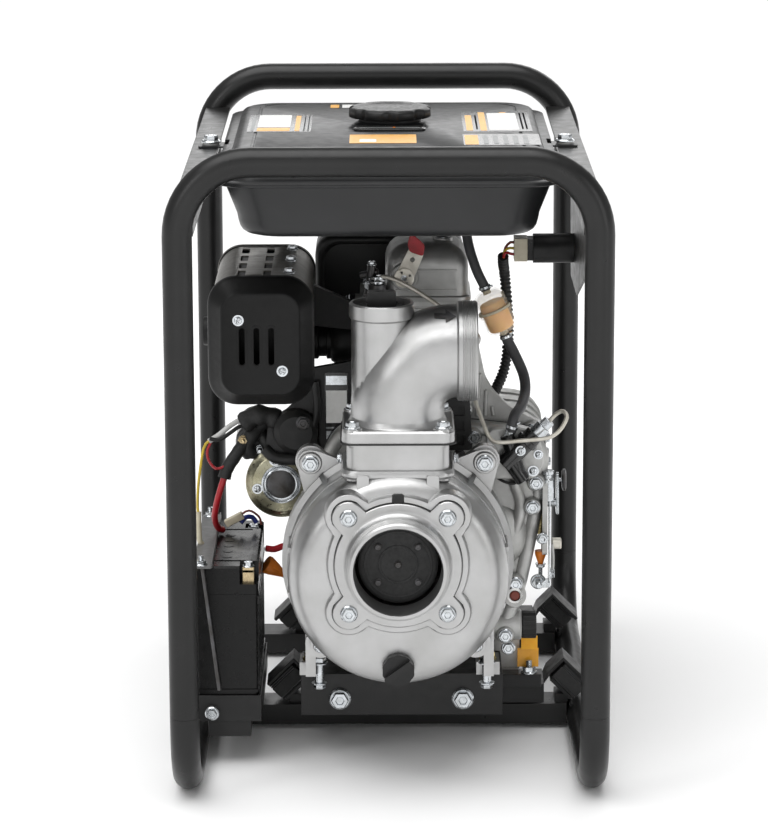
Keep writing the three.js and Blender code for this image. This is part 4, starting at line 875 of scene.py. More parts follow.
def crankcase_cover():
    front = -136
    face = loft("y", [(case_outline(-5), front), (case_outline(-1.5), front + 2),
                      (case_outline(), front + 6), (case_outline(), -104.8)])
    collar = turned("y", [(0, -150), (70, -150), (76, -147), (80, -140), (84, front + 1), (0, front + 1)],
                    SHAFT.x, SHAFT.z)
    places = [(176, 330), (172, 300), (152, 205), (-72, 350), (-72, 150), (140, 140), (172, 372), (100, 386)]
    bosses = [turned("y", [(0, -146), (9.5, -146), (11, -143), (12.5, -110), (0, -110)], x, z, ROUND)
              for x, z in places]
    elbow = strut((142, -122, 182), (151, -148, 192), 15)
    barrel = turned("x", [(0, 118), (19, 118), (19, 158), (17, 160), (0, 160)], -124, 148)
    bracket = prism("x", rounded(-146, 240, -110, 330, 5), 184, 190)
    casting = join(face, collar, *bosses, elbow, barrel, bracket)
    hollow = prism("y", [(SHAFT.x + (u - SHAFT.x) * 0.86, SHAFT.z + (v - SHAFT.z) * 0.86) for u, v in CASE],
                   -128, -100)
    bore = bar("y", CRANK_BORE, -155, -120, SHAFT.x, SHAFT.z)
    piece("crankcase_cover_casting", cut(casting, hollow, bore), "engine_casting",
          replaces=["crankcase_cover"], bevel=1.6)
    heads = [part for x, z in places for part in bolt("y", x, z, -146, -1, 6)]
    heads += bolt("y", 144, 122, -136, -1, 6) + stud_nut("y", 180, 203, -128, -1, 6.5, 16)
    piece("crankcase_cover_bolts", heads, "zinc")
    piece("crankcase_gasket", cut(prism("y", case_outline(0.8), -104.7, -103.8), hollow), "rubber")
    plug = turned_part("y", [(0, 0), (5.8, 0), (5.8, 4), (4.6, 5), (0, 5)], 151, 192, -1, -148.5, ROUND)
    ring = turned_part("y", [(6, 0), (9.6, 0), (10, 2), (9.6, 5), (6.8, 5.5), (6, 0)], 151, 192, -1, -148)
    rim = swept([Vector((u, -130, v)) for u, v in case_outline(-8) + case_outline(-8)[:1]], 9.5, 24)
    elbow_tube = wire([(104, -128, 380), (126, -131, 368), (146, -132, 352), (160, -130, 332),
                       (166, -126, 312)], 14, 28)
    belly = turned("y", [(0, -146), (20, -146), (30, -143), (38, -137), (42, -130), (0, -130)], 128, 262)
    fillet = wire([(150, -138, 330), (158, -138, 300), (150, -138, 262), (142, -138, 228),
                   (136, -138, 200)], 7, 20)
    piece("cover_rim", [rim, elbow_tube, belly, fillet], "engine_casting")
    line = wire([(126, -141, 338), (138, -143, 331), (150, -144, 329), (160, -143, 333),
                 (172, -141, 331)], 1.7)
    piece("cover_gasket_line", line, "rubber")
    piece("oil_plug", plug, "red_oxide")
    piece("oil_plug_ring", ring, "machined")

    knurled = []
    for i in range(48):
        radius = 17.5 * (1.0 if i % 2 else 0.94)
        angle = 2 * math.pi * i / 48
        knurled.append((-124 + radius * math.cos(angle), 148 + radius * math.sin(angle)))
    piece("oil_drain_cap", prism("x", knurled, 160.4, 178), "black_plastic", bevel=1.2)
    tags = [box(161, -100, 109, 181, -98.5, 126), box(157, -84.6, 82, 183, -83.4, 106)]
    block = prism("z", rounded(126, -101, 186, -78, 3), 60.5, 77)
    piece("foot_plate", block, "bracket_paint", bevel=0.8)
    piece("foot_plate_nut", stud_nut("z", 171, -91, 77, 1, 7, 10), "zinc")
    piece("tag_amber", tags[0], "filter_element", bevel=0.3)
    piece("tag_yellow", tags[1], "label_amber", bevel=0.3)


def cylinder_and_head():
    low, high = mm_box("cylinder")
    barrel = turned("z", [(0, low.z), (52, low.z), (52, high.z), (0, high.z)], 30, 5)
    fins = [prism("z", rounded(low.x, low.y, high.x, high.y, 18, 6), low.z + 8 + i * 8.6,
                  low.z + 10.6 + i * 8.6) for i in range(8)]
    parts = join(barrel, *fins)
    piece("cylinder_fins", cut(parts, bar("z", 43, low.z - 1, high.z + 1, 30, 5, FINE)), "engine_casting",
          replaces=["cylinder"], bevel=0.5)
    head_low = mm_box("cylinder_head")[0]
    x0, x1, y0, y1 = -35, 97, -60, 70
    core = prism("z", rounded(x0 + 8, y0 + 2, x1 - 2, y1 - 2, 10, 6), head_low.z, HEAD_SEAT)
    plates = [prism("z", rounded(x0, y0, x1, y1, 14, 6), z, z + 3.4)
              for z in (480, 488.5, 497, 505.5, 514, 522.5)]
    top = prism("z", rounded(x0, y0, x1, y1, 14, 6), 529, HEAD_SEAT)
    port = box(x0 - 6, -12, 488, x0 + 4, 28, 528)
    piece("cylinder_head_casting", join(core, *plates, top, port), "engine_casting",
          replaces=["cylinder_head"], bevel=0.8)
    studs = [part for x, y in ((x0 + 12, y1 - 10), (x0 + 12, y0 + 12))
             for part in stud_nut("z", x, y, HEAD_SEAT, 1, 7, 14)]
    piece("head_nuts", studs, "zinc")
    dark = [box(-30, -58, HEAD_SEAT + 0.2, -10, -34, 552), bar("z", 11, HEAD_SEAT + 0.2, 558, -14, -64),
            strut((-24, -60, 545), (-20, -60, 580), 5), strut((-34, -54, 566), (-12, -60, 572), 4)]
    piece("injector_holder", dark, "dark_steel", bevel=0.8)
    clips = [turned("z", [(0, z), (9.4, z), (9.8, z + 1), (9.4, z + 3), (0, z + 3)], -14, -64, ROUND)
             for z in (558.5, 564)]
    clips += bolt("y", -24, 556, -64, -1, 4) + bolt("z", -22, -46, 552, 1, 5) + bolt("z", -20, -60, 580,
                                                                                     1, 4)
    piece("injector_clips", clips, "zinc")


def rocker_cover():
    low, high = mm_box("rocker_cover")
    x0, x1 = low.x, high.x
    y0, y1 = -60, 50
    z0 = low.z

    def outline(inset, radius=16):
        return rounded(x0 + inset, y0 + inset, x1 - inset, y1 - inset, radius, 8)

    layers = [(outline(-3), z0), (outline(-3), z0 + 5), (outline(0), z0 + 6.5), (outline(0.4), z0 + 42),
              (outline(2.2, 15), z0 + 50), (outline(6, 14), z0 + 57), (outline(12, 12), z0 + 63),
              (outline(22, 10), z0 + 67), (outline(32, 8), z0 + 68)]
    dome = loft("z", layers)
    boss = turned("y", [(0, y0 - 6), (15, y0 - 6), (16, y0 - 5), (17, y0 + 6), (0, y0 + 6)], *LEVER_HUB)
    tower = turned("z", [(0, z0 + 50), (13, z0 + 50), (12, z0 + 70), (0, z0 + 70)], 66, -12)
    ribs = [prism("y", rounded(x0 + 12, z0 + 12 + k * 12, x1 - 14, z0 + 14.5 + k * 12, 1, 3), y0 - 1, y0 + 2)
            for k in (0, 2)]
    piece("rocker_cover_casting", join(dome, boss, tower, *ribs), "cover_paint",
          replaces=["rocker_cover"], bevel=1.2)
    coil = [(66 + 7 * math.cos(t * 0.6), -12 + 7 * math.sin(t * 0.6), z0 + 71 + t * 0.11) for t in range(63)]
    fasteners = bolt("z", 66, -12, z0 + 70, 1, 5.5) + bolt("z", 10, -46, z0 + 5, 1, 4.5)
    fasteners += bolt("z", 90, -46, z0 + 5, 1, 4.5) + bolt("z", 90, 38, z0 + 5, 1, 4.5)
    piece("rocker_cover_bolts", fasteners, "zinc")
    piece("rocker_cover_spring", swept([Vector(p) for p in coil], 0.9, 8), "dark_steel")


def decompression_lever():
    low = mm_box("decompression_lever")[0]
    y1 = -66.3
    arm = filleted([(7, 566), (10, 555), (28, 555), (31, 566), (44, 598), (26, 604)], 7, 6)
    plate_part = prism("y", arm, y1 - 3.4, y1)
    hub = turned("y", [(0, y1 - 5.4), (10, y1 - 5.4), (12, y1 - 4.4), (12, y1), (0, y1)], *LEVER_HUB)
    holes = [bar("y", 1.6, y1 - 9, y1 + 2, LEVER_HUB[0] + 7.4 * math.cos(a),
                 LEVER_HUB[1] + 7.4 * math.sin(a), SMALL) for a in (0.4, 2.0, 3.6, 5.2)]
    holes.append(bar("y", 3, y1 - 6, y1 + 2, 29, 588, SMALL))
    piece("decompression_arm", cut(join(plate_part, hub), *holes), "beige_metal",
          body="decompression_lever", replaces=["decompression_lever"], bevel=0.5)
    tip = filleted([(25, 598), (42, 592), (44, 606), (38, 612), (27, 621), (23, 608)], 4, 5)
    piece("decompression_tip", prism("y", tip, low.y - 0.4, y1 + 0.4), "red_plastic",
          body="decompression_lever", bevel=0.9)
    pin = turned_part("y", [(0, 0), (3.6, 0), (3.6, 1.5), (0, 2)], *LEVER_HUB, -1, y1 - 5.3)
    piece("decompression_pin", pin, "zinc", body="decompression_lever")


def engine_front_details():
    """Shroud plates between the starter and the elbow, with a blank data plate."""
    shroud = prism("y", filleted([(-106, 456), (-26, 470), (-24, 362), (-150, 352), (-146, 392), (-122, 412),
                                  (-108, 426)], 9), -97.9, -94)
    swell = turned("y", [(0, -112), (20, -112), (27, -106), (29, -94), (0, -94)], -112, 384)
    lip = prism("y", filleted([(-106, 456), (-104, 460), (-26, 474), (-26, 469)], 1), -104, -94)
    hump = wire([(-84, -100, 356), (-92, -104, 380), (-86, -104, 412), (-88, -102, 446)], 5, 20)
    bead = wire([(-150, -98, 362), (-138, -102, 352), (-116, -104, 350), (-96, -102, 354)], 7, 20)
    side = prism("y", filleted([(66, 372), (66, 436), (96, 440), (100, 372)], 5), -152, -146)
    slots = [prism("y", rounded(70, z, 90, z + 12, 2, 3), -155, -149) for z in (378, 396, 414)]
    parts = [shroud, swell, lip, hump, bead, cut(side, *slots)]
    piece("engine_shroud", parts, "bracket_paint", bevel=0.8)
    plate_back = prism("y", rounded(-77, 372, -49, 456, 2, 3), -99.4, -98.2)
    fields = [box(-75.5, -99.9, z, -50.5, -99.3, z + h) for z, h in ((441, 11), (374, 10), (387, 2))]
    piece("data_plate", plate_back, "gloss_black")
    piece("data_plate_fields", fields, "zinc")
    piece("data_plate_text_field", box(-75.5, -99.9, 394, -50.5, -99.3, 434), "label_white")
    heads = bolt("y", -103, 397, -111.6, -1, 6) + bolt("y", -62, 366, -98, -1, 5) + bolt("y", 84, 366,
                                                                                         -150, -1, 5)
    piece("shroud_bolts", heads, "dark_steel")
    cylinder_shroud()


def cylinder_shroud():
    """The cast web that rises from the crankcase to the head beside the elbow."""
    outline = filleted([(74, 398), (74, 530), (98, 522), (106, 505), (109, 484), (116, 450), (126, 432),
                        (144, 414), (172, 399), (190, 390), (188, 372), (120, 372)], 5)
    web = prism("y", outline, -98, -84)
    ribs = [strut((103 + k * 7, -98, 474 - k * 20), (96 + k * 10, -100, 402), 2.2, 12) for k in range(4)]
    ledges = [box(80, -102, z, 104 - k * 2, -96, z + 3) for k,
              z in enumerate((512, 496, 470, 452, 436, 420))]
    pads = [turned("y", [(0, -104), (8, -104), (9.5, -102), (11, -96), (0, -96)], x, z) for x, z in
            ((172, 386), (92, 410), (100, 496))]
    piece("cylinder_web", [web, *ribs, *ledges, *pads], "engine_casting", bevel=1)
    heads = bolt("y", 172, 386, -104, -1, 5) + bolt("y", 92, 410, -104, -1, 5) + bolt("y", 100, 496, -104,
                                                                                      -1, 4.5)
    piece("cylinder_web_bolts", heads, "zinc")


def blower():
    low, high = mm_box("blower_housing")
    x, z = SHAFT.x, SHAFT.z
    front, rear, radius = low.y, high.y, (high.x - low.x) / 2
    skin = [(radius - 3, front), (radius + 1.2, front), (radius + 1.2, front + 3), (radius, front + 4),
            (radius, rear - 14), (radius - 1.5, rear - 8), (radius - 5, rear - 3), (radius - 11, rear),
            (80, rear), (78, rear - 1), (78, rear - 3), (radius - 12, rear - 3), (radius - 3, rear - 13),
            (radius - 3, front)]
    ears = [moved(prism("y", rounded(radius - 3, -12, radius + 8, 12, 4), front, front + 4), x, 0, z,
                  ("Y", math.radians(a))) for a in (35, 90, 145, 215, 325)]
    piece("blower_shell", [turned("y", skin, x, z, 96), *ears], "bracket_paint",
          replaces=["blower_housing"], sharp=40)
    y0 = mm_box("recoil_housing")[0].y
    dish = turned("y", [(84, y0), (91, y0), (92, y0 + 1), (92, y0 + 3.5), (85, y0 + 5), (80, y0 + 20),
                        (74, y0 + 33), (70, y0 + 35), (44, y0 + 36.5), (40, y0 + 35), (36, y0 + 35),
                        (32, y0 + 37.5), (0, y0 + 38), (0, y0 + 35), (72, y0 + 31), (77, y0 + 18),
                        (81, y0 + 3), (84, y0)], x, z, 96)
    slots = []
    for i in range(20):
        angle = i * math.pi / 10 + 0.2
        slot_box = prism("y", rounded(46, -2.8, 67, 2.8, 2.6, 4), y0 + 20, y0 + 50)
        slots.append(moved(slot_box, x, 0, z, ("Y", angle)))
    piece("recoil_dish", cut(dish, *slots), "bracket_paint", replaces=["recoil_housing"], sharp=40)
    heads = []
    for i in range(4):
        angle = i * math.pi / 2 + 0.6
        heads += bolt("y", x + 87.5 * math.cos(angle), z + 87.5 * math.sin(angle), y0 + 4, 1, 4.2)
    for i in range(3):
        angle = i * math.tau / 3
        heads += screw("y", x + 20 * math.cos(angle), z + 20 * math.sin(angle), y0 + 37.6, 1, 3.2)
    piece("recoil_bolts", heads, "zinc")


def recoil_handle():
    low, high = mm_box("recoil_handle")
    y = (low.y + high.y) / 2
    way = Vector((-1, 0, 1)).normalized()
    across = Vector((1, 0, 1)).normalized()
    start = Vector((SHAFT.x - 66, y, SHAFT.z + 62))
    middle = start + way * 26
    count = 40

    def swell(i):
        t = abs(2 * i / (count - 1) - 1)
        return (1 - 0.3 * t ** 2) * math.sqrt(max(0.0, 1 - t ** 8)) + 0.02

    grip_path = [middle + across * (68 * i / (count - 1) - 34) for i in range(count)]
    grip = swept(grip_path, 9.6, ROUND, wave=swell)
    collar_path = [start + way * (12 + i) for i in range(13)]
    collar = swept(collar_path, 7, ROUND, wave=lambda i: 1 - 0.02 * i)
    piece("recoil_grip", [grip, collar], "black_plastic", body="recoil_handle",
          replaces=["recoil_handle"])
    rope_path = [start + way * (2 * i - 112) for i in range(63)]
    piece("recoil_rope", swept(rope_path, 2, SMALL, wave=lambda i: 1 + 0.08 * (i % 2)), "white_sleeve",
          body="recoil_handle")


# ---------------------------------------------------------------- starter, injection and controls
def starter():
    x, z = -130.5, 318
    front, rear = mm_box("starter_motor")[0].y, 55
    shell = turned("y", [(0, front + 12), (38, front + 12), (38, rear - 3), (36, rear), (0, rear)], x, z)
    nose = turned("y", [(0, rear - 1), (18, rear - 1), (16, rear + 36), (12, rear + 40), (0, rear + 40)],
                  x + 6, z - 4)
    can = turned("y", [(0, -72), (20, -72), (22, -69), (22, 32), (20, 35), (0, 35)], x - 34, z + 46)
    cap = turned("y", [(0, -84), (15, -84), (19, -80), (20, -72), (0, -72)], x - 34, z + 46)
    web = box(x - 34, -50, z + 20, x, 25, z + 50)
    piece("starter_body", [shell, nose, can, web], "gloss_black", replaces=["starter_motor"], bevel=0.8,
          sharp=40)
    hood = wire([(-176, -92, 392), (-160, -94, 402), (-142, -92, 400), (-130, -88, 388)], 12, ROUND,
                wave=lambda i: 1 + 0.12 * math.sin(i * 1.3))
    boot = wire([(-168, -88, 352), (-172, -92, 366), (-160, -86, 384), (-148, -80, 392),
                 (-140, -70, 380)], 9, ROUND, wave=lambda i: 1 + 0.1 * math.sin(i * 1.1))
    folds = wire([(-140, -84, 352), (-150, -86, 368), (-158, -80, 378)], 7, ROUND)
    piece("solenoid_boots", [cap, boot, folds, hood], "rubber")
    plate_profile = [(0, front + 2), (34, front + 2), (36, front + 3.4), (39, front + 8), (43.5, front + 10),
                     (43.5, front + 16), (0, front + 16)]
    plate_part = turned("y", plate_profile, x, z)
    notches = [moved(bar("y", 5, front - 4, front + 7.5, 41, 0), x, 0, z, ("Y", a))
               for a in (0.2, 1.5, 2.9, 4.4, 5.5)]
    piece("starter_end_plate", cut(plate_part, *notches), "olive_zinc", sharp=40)
    ring = turned("y", [(17, front + 2.5), (17.5, front - 0.2), (19, front - 0.6), (20.4, front),
                        (21, front + 1.4), (22.4, front + 0.4), (24, front + 1), (24.6, front + 2.5),
                        (17, front + 2.5)], x, z)
    piece("starter_ring", ring, "zinc")
    piece("starter_disc", turned_part("y", [(0, 0), (17.4, 0), (17.4, 1.5), (15, 2.4), (0, 2.4)], x, z,
                                      -1, front + 2), "dark_steel")
    heads = screw("y", x - 8, z + 29, front + 2.2, -1, 4.4) + screw("y", x - 29, z - 6, front + 2.2, -1, 4.4)
    heads += stud_nut("y", x - 42, z + 52, -84, -1, 4.5, 8) + stud_nut("y", x - 26, z + 40, -84, -1, 4.5, 8)
    piece("starter_fasteners", heads, "zinc")
    nut = stud_nut("y", -176, 372, -96, -1, 4.5, 6)
    piece("solenoid_terminal", nut, "brass")


def starter_wiring():
    red = [(-204, -64, 252), (-209, -76, 258), (-212, -92, 276), (-207, -104, 302), (-198, -108, 332)]
    piece("starter_cable_red", wire(red, 4, 20), "red_plastic", replaces=["starter_cable"])
    sleeve = [(-199, -108, 328), (-195, -106, 340), (-184, -100, 356), (-174, -92, 370)]
    piece("starter_cable_boot", wire(sleeve, 7.6, 24, wave=lambda i: 1.05 - 0.03 * (i % 3)), "rubber")
    loop = [(-214, -109, 374), (-219, -110, 362), (-217, -111, 350), (-209, -112, 341), (-199, -110, 343),
            (-192, -106, 350)]
    piece("sense_wire_red", wire(loop, 1.7, 12), "red_plastic")
    yellow = [(-216, -109, 375), (-223, -112, 366), (-229, -118, 330), (-231, -121, 300), (-230, -123, 285)]
    piece("sense_wire_yellow", wire(yellow, 1.7, 12), "yellow_wire")
    cream = [(-230, -123, 290), (-230, -124, 276), (-229, -124, 254), (-226, -122, 249.5)]
    piece("wire_sleeve_cream", wire(cream, 3.4, 16), "cream_plastic")
    white = [(-217, -110, 374), (-205, -106, 381), (-190, -100, 392), (-172, -94, 400), (-160, -88, 396)]
    piece("wire_sleeve_white", wire(white, 3.2, 16), "white_sleeve")
    dark = [(-216, -112, 378), (-204, -110, 376), (-190, -104, 384), (-178, -98, 390), (-160, -92, 386)]
    piece("wire_dark", wire(dark, 2.4, 12), "rubber")
    plug = moved(box(-12, -5, -4.5, 12, 5, 4.5), -190, -52, 262, ("Y", math.radians(-28)))
    piece("connector_cream", plug, "cream_plastic", bevel=1)
    blue = [(-182, -54, 258), (-176, -50, 264), (-168, -46, 263), (-163, -46, 256)]
    piece("wire_blue", wire(blue, 3, 12), "blue_wire")
    thin = [(-184, -50, 266), (-172, -48, 272), (-160, -47, 264), (-157, -47, 254)]
    piece("wire_thin_dark", wire(thin, 1.4, 10), "red_oxide")
    short = [(-150, -86, 234), (-140, -82, 232), (-128, -78, 235), (-118, -78, 232)]
    piece("wire_short_red", wire(short, 4, 16), "red_plastic")


def injection():
    x, z = 152, 372
    plate = prism("y", filleted([(x - 40, z - 34), (x + 24, z - 34), (x + 34, z - 12), (x + 26, z + 22),
                                 (x, z + 30), (x - 34, z + 26)], 9), -158, -137)
    piece("injection_seat", plate, "engine_casting", bevel=1.4)
    arm = strut((x - 16, -166, z - 14), (x + 22, -166, z + 24), 11.5)
    shank = strut((x + 2, -166, z - 24), (x - 12, -166, z + 22), 8.5)
    foot = strut((x + 8, -166, z - 34), (x - 14, -166, z - 2), 9)
    collar = strut((x + 10, -166, z + 12), (x + 15, -166, z + 17), 13.5)
    inlet = strut((x - 10, -164, z + 18), (x - 6, -164, z + 32), 6)
    piece("injection_body", [arm, shank, foot, collar], "gloss_black", replaces=["injection_pump"],
          bevel=1.2)
    valve = strut((x + 22, -164, z + 22), (x + 32, -164, z + 32), 9.5)
    nut = strut((x + 28, -164, z + 28), (x + 39, -164, z + 39), 7.6, 6)
    piece("injection_valve", [valve, nut, inlet], "zinc", bevel=0.8)
    heads = screw("y", x + 4, z + 5, -176.5, -1, 4.2) + screw("y", x + 20, z - 24, -158, -1, 4.6)
    heads += screw("y", x + 26, z - 4, -158, -1, 4)
    piece("injection_screws", heads, "zinc")
    loop = [(190.9, -164, 410.9), (198, -166, 419), (206, -170, 423.5), (210.5, -177, 418), (203, -184, 405),
            (192, -188, 397), (180, -188, 394), (156, -188, 392), (130, -188, 390), (120, -186, 394),
            (112, -178, 410), (101, -158, 440), (97, -140, 468), (90, -120, 500), (70, -98, 528),
            (44, -84, 546), (14, -74, 562), (-6, -68, 567), (-14, -64, 562)]
    piece("injector_line", wire(loop, 2.5, 20, step=2.5), "beige_metal", replaces=["injector_pipe"])


def controls():
    y = -122
    x = 201
    arm = filleted([(y - 16, 288), (y + 12, 288), (y + 10, 322), (y + 4, 338), (y - 8, 338),
                    (y - 12, 318)], 5)
    parts = [prism("x", arm, x, x + 3), bar("x", 5, x - 12, x + 1, y, 300),
             bar("x", 3, x + 2, x + 9, y, 328)]
    knob = turned("x", [(0, x + 7), (11, x + 7), (13.4, x + 8.4), (13.4, x + 11), (11, x + 12),
                        (0, x + 12)], y, 328)
    piece("speed_lever_arm", parts, "zinc", body="speed_lever", replaces=["speed_lever"], bevel=0.5)
    piece("speed_lever_knob", knob, "dark_steel", body="speed_lever", sharp=50)
    column = turned("z", [(0, 306), (7, 306), (8, 308), (8, 332), (6, 334), (6, 338), (8, 339), (8, 343),
                          (0, 344)], 190, y - 14)
    strap = prism("x", filleted([(y - 20, 200), (y + 6, 196), (y + 4, 240), (y + 10, 300), (y - 20, 320)],
                                6), 192, 194)
    foot = box(182, y - 24, 200, 194, y - 2, 206)
    zinc = [column, strap, foot, *bolt("x", y - 10, 214, 194, 1, 5), *bolt("y", 184, 262, y - 26, -1, 5)]
    piece("speed_bracket", zinc, "zinc", bevel=0.5)
    coil = [(181 + 6.5 * math.cos(t * 0.7), y + 6.5 * math.sin(t * 0.7), 262 + t * 0.2) for t in range(180)]
    piece("governor_spring", swept([Vector(p) for p in coil], 1.1, 8), "yellow_zinc")
    core = turned("z", [(0, 268), (5, 268), (5, 296), (0, 296)], 181, y)
    piece("governor_core", core, "dark_steel")
    cap = turned("z", [(0, 224), (3, 224), (7, 236), (7, 240), (0, 241)], 183, y)
    piece("limit_screw_cap", cap, "orange_plastic")
    piece("limit_screw", stud_nut("z", 183, y, 224, -1, 4.5, 12), "zinc")
    knob = prism("x", rounded(y - 8, 243, y + 8, 255, 4), 196, 208)
    rod = wire([(197, y - 9, 250), (198, y - 10, 236), (198, y - 10, 222), (196, y - 8, 212)], 1.3, 10)
    piece("stop_knob", knob, "beige_metal", bevel=1.6)
    piece("stop_rod", rod, "white_sleeve")


def dipstick():
    rod_foot = mm_box("oil_dipstick")[0].z
    way = Vector((-0.62, -0.15, 0.42)).normalized()
    foot = Vector((-108, -60, 181))
    widths = [(0, 3.4), (12, 3.8), (30, 4.4), (38, 8), (50, 11.5), (53, 11)]
    funnel = swept([foot + way * reach for reach, _ in widths], 1, ROUND, wave=lambda i: widths[i][1])
    ribs = []
    for k in range(6):
        turned_by = way.orthogonal().normalized()
        turned_by.rotate(Matrix.Rotation(k * math.pi / 3, 3, way))
        ribs.append(strut(foot + way * 26 + turned_by * 3, foot + way * 47 + turned_by * 10.6, 1.1, 8))
    piece("dipstick_grip", [funnel, *ribs], "orange_plastic", body="oil_dipstick",
          replaces=["oil_dipstick"])
    rod = bar("z", 2.4, rod_foot, 186, -108, -60, SMALL)
    piece("dipstick_rod", rod, "zinc", body="oil_dipstick")
    neck = turned("z", [(3.8, 150), (10, 150), (10, 176), (8, 178), (3.8, 178), (3.8, 150)], -108, -60)
    arm = box(-104, -66, 150, -84, -54, 168)
    tube = cut(join(neck, arm), bar("z", 3.8, 149, 180, -108, -60))
    piece("dipstick_neck", tube, "engine_casting", bevel=0.8)


# ---------------------------------------------------------------- fuel line
def fuel_line():
    top, low_end = Vector((118, -60, 548)), Vector((140, -60, 496))
    way = (low_end - top).normalized()
    length = (low_end - top).length
    profile = [(0.0, 0.32), (0.02, 0.7), (0.08, 0.92), (0.16, 1.0), (0.46, 1.0), (0.47, 1.14), (0.53, 1.14),
               (0.54, 1.0), (0.84, 0.98), (0.92, 0.86), (0.98, 0.62), (1.0, 0.32)]

    def shell(scale, reach):
        path = [top + way * length * (0.5 + (t - 0.5) * reach) for t, _ in profile]
        return swept(path, 19 * scale, 48, wave=lambda i: profile[i][1])

    piece("filter_shell", cut(shell(1.0, 1.0), shell(0.9, 0.92)), "filter_shell",
          replaces=["fuel_filter"], sharp=50)

    reaches = (0.26, 0.275, 0.3, 0.5, 0.7, 0.86, 0.895, 0.91)
    girths = (13, 14.6, 15.4, 16, 16, 15.4, 14, 12)
    core = swept([top + way * length * t for t in reaches], 1, 40, wave=lambda i: girths[i])
    piece("filter_core", core, "filter_element")
    ring = strut(top + way * length * 0.42, top + way * (length * 0.42 + 3), 20.4, 40)
    hoop = cut(ring, strut(top - way * 5, top + way * (length + 9), 17.4, 40))
    piece("filter_band", hoop, "cream_plastic", bevel=0.6)
    spouts = [strut(top - way * 5, top + way * 4, 5), strut(low_end - way * 4, low_end + way * 5, 5)]
    piece("filter_spouts", spouts, "cream_plastic")
    upper = [top - way * 1, top - way * 8, (106, -58, 574), (97, -50, 602), (93, -40, 630),
             (96, -30, 646), (99, -28, 660)]
    lower = [low_end + way * 1, low_end + way * 9, (153, -66, 470), (163, -80, 448), (164, -102, 432),
             (158, -134, 422), (150, -156, 416), (147, -164, 409), (145, -164, 398)]
    piece("fuel_hose_top", wire(upper, 6, 24), "hose", replaces=["fuel_hose_upper"])
    piece("fuel_hose_bottom", wire(lower, 6.4, 24), "hose", replaces=["fuel_hose_lower"])
    clips = []
    for start, end in ((top - way * 3, top - way * 6.5), (low_end + way * 3, low_end + way * 6.5),
                       (Vector((146.6, -164, 405)), Vector((145.6, -164, 401.5)))):
        clips += [strut(start, end, 7.6), strut(start + Vector((5, -6, 3)), start + Vector((9, -6, 5)),
                                                1.6, 8)]
    piece("hose_clips", clips, "zinc", bevel=0.4)
    tap = turned("z", [(0, 642), (8, 642), (10, 646), (10, 654), (0, 654)], 98, -28, ROUND)
    piece("tank_outlet", tap, "brass")


# ---------------------------------------------------------------- pump end
def lobed(radius, lobe, x=SHAFT.x, z=PORT_Z, reach=PORT_BOLT):
    """A disc with four rounded corners that carry the port bolts."""
    points = []
    for k in range(144):
        angle = math.tau * k / 144
        place = Vector((math.cos(angle), math.sin(angle)))
        far = radius
        for sx in (-1, 1):
            for sz in (-1, 1):
                centre = Vector((sx * reach, sz * reach))
                along = centre.dot(place)
                miss = centre.length_squared - along ** 2
                if along > 0 and miss < lobe ** 2:
                    far = max(far, along + math.sqrt(lobe ** 2 - miss))
        points.append((x + place.x * far, z + place.y * far))
    return points


def port_bolts():
    return [(SHAFT.x + sx * PORT_BOLT, PORT_Z + sz * PORT_BOLT) for sx in (-1, 1) for sz in (-1, 1)]


def ear_places():
    """The two upper ears stand clear of the drum and the two lower ones sit closer to it."""
    places = []
    for angle, reach in ((EAR_ANGLE, EAR_RADIUS), (math.pi - EAR_ANGLE, EAR_RADIUS),
                         (math.pi + EAR_ANGLE, LOW_EAR_RADIUS), (-EAR_ANGLE, LOW_EAR_RADIUS)):
        places.append((SHAFT.x + reach * math.cos(angle), SHAFT.z + reach * math.sin(angle)))
    return places


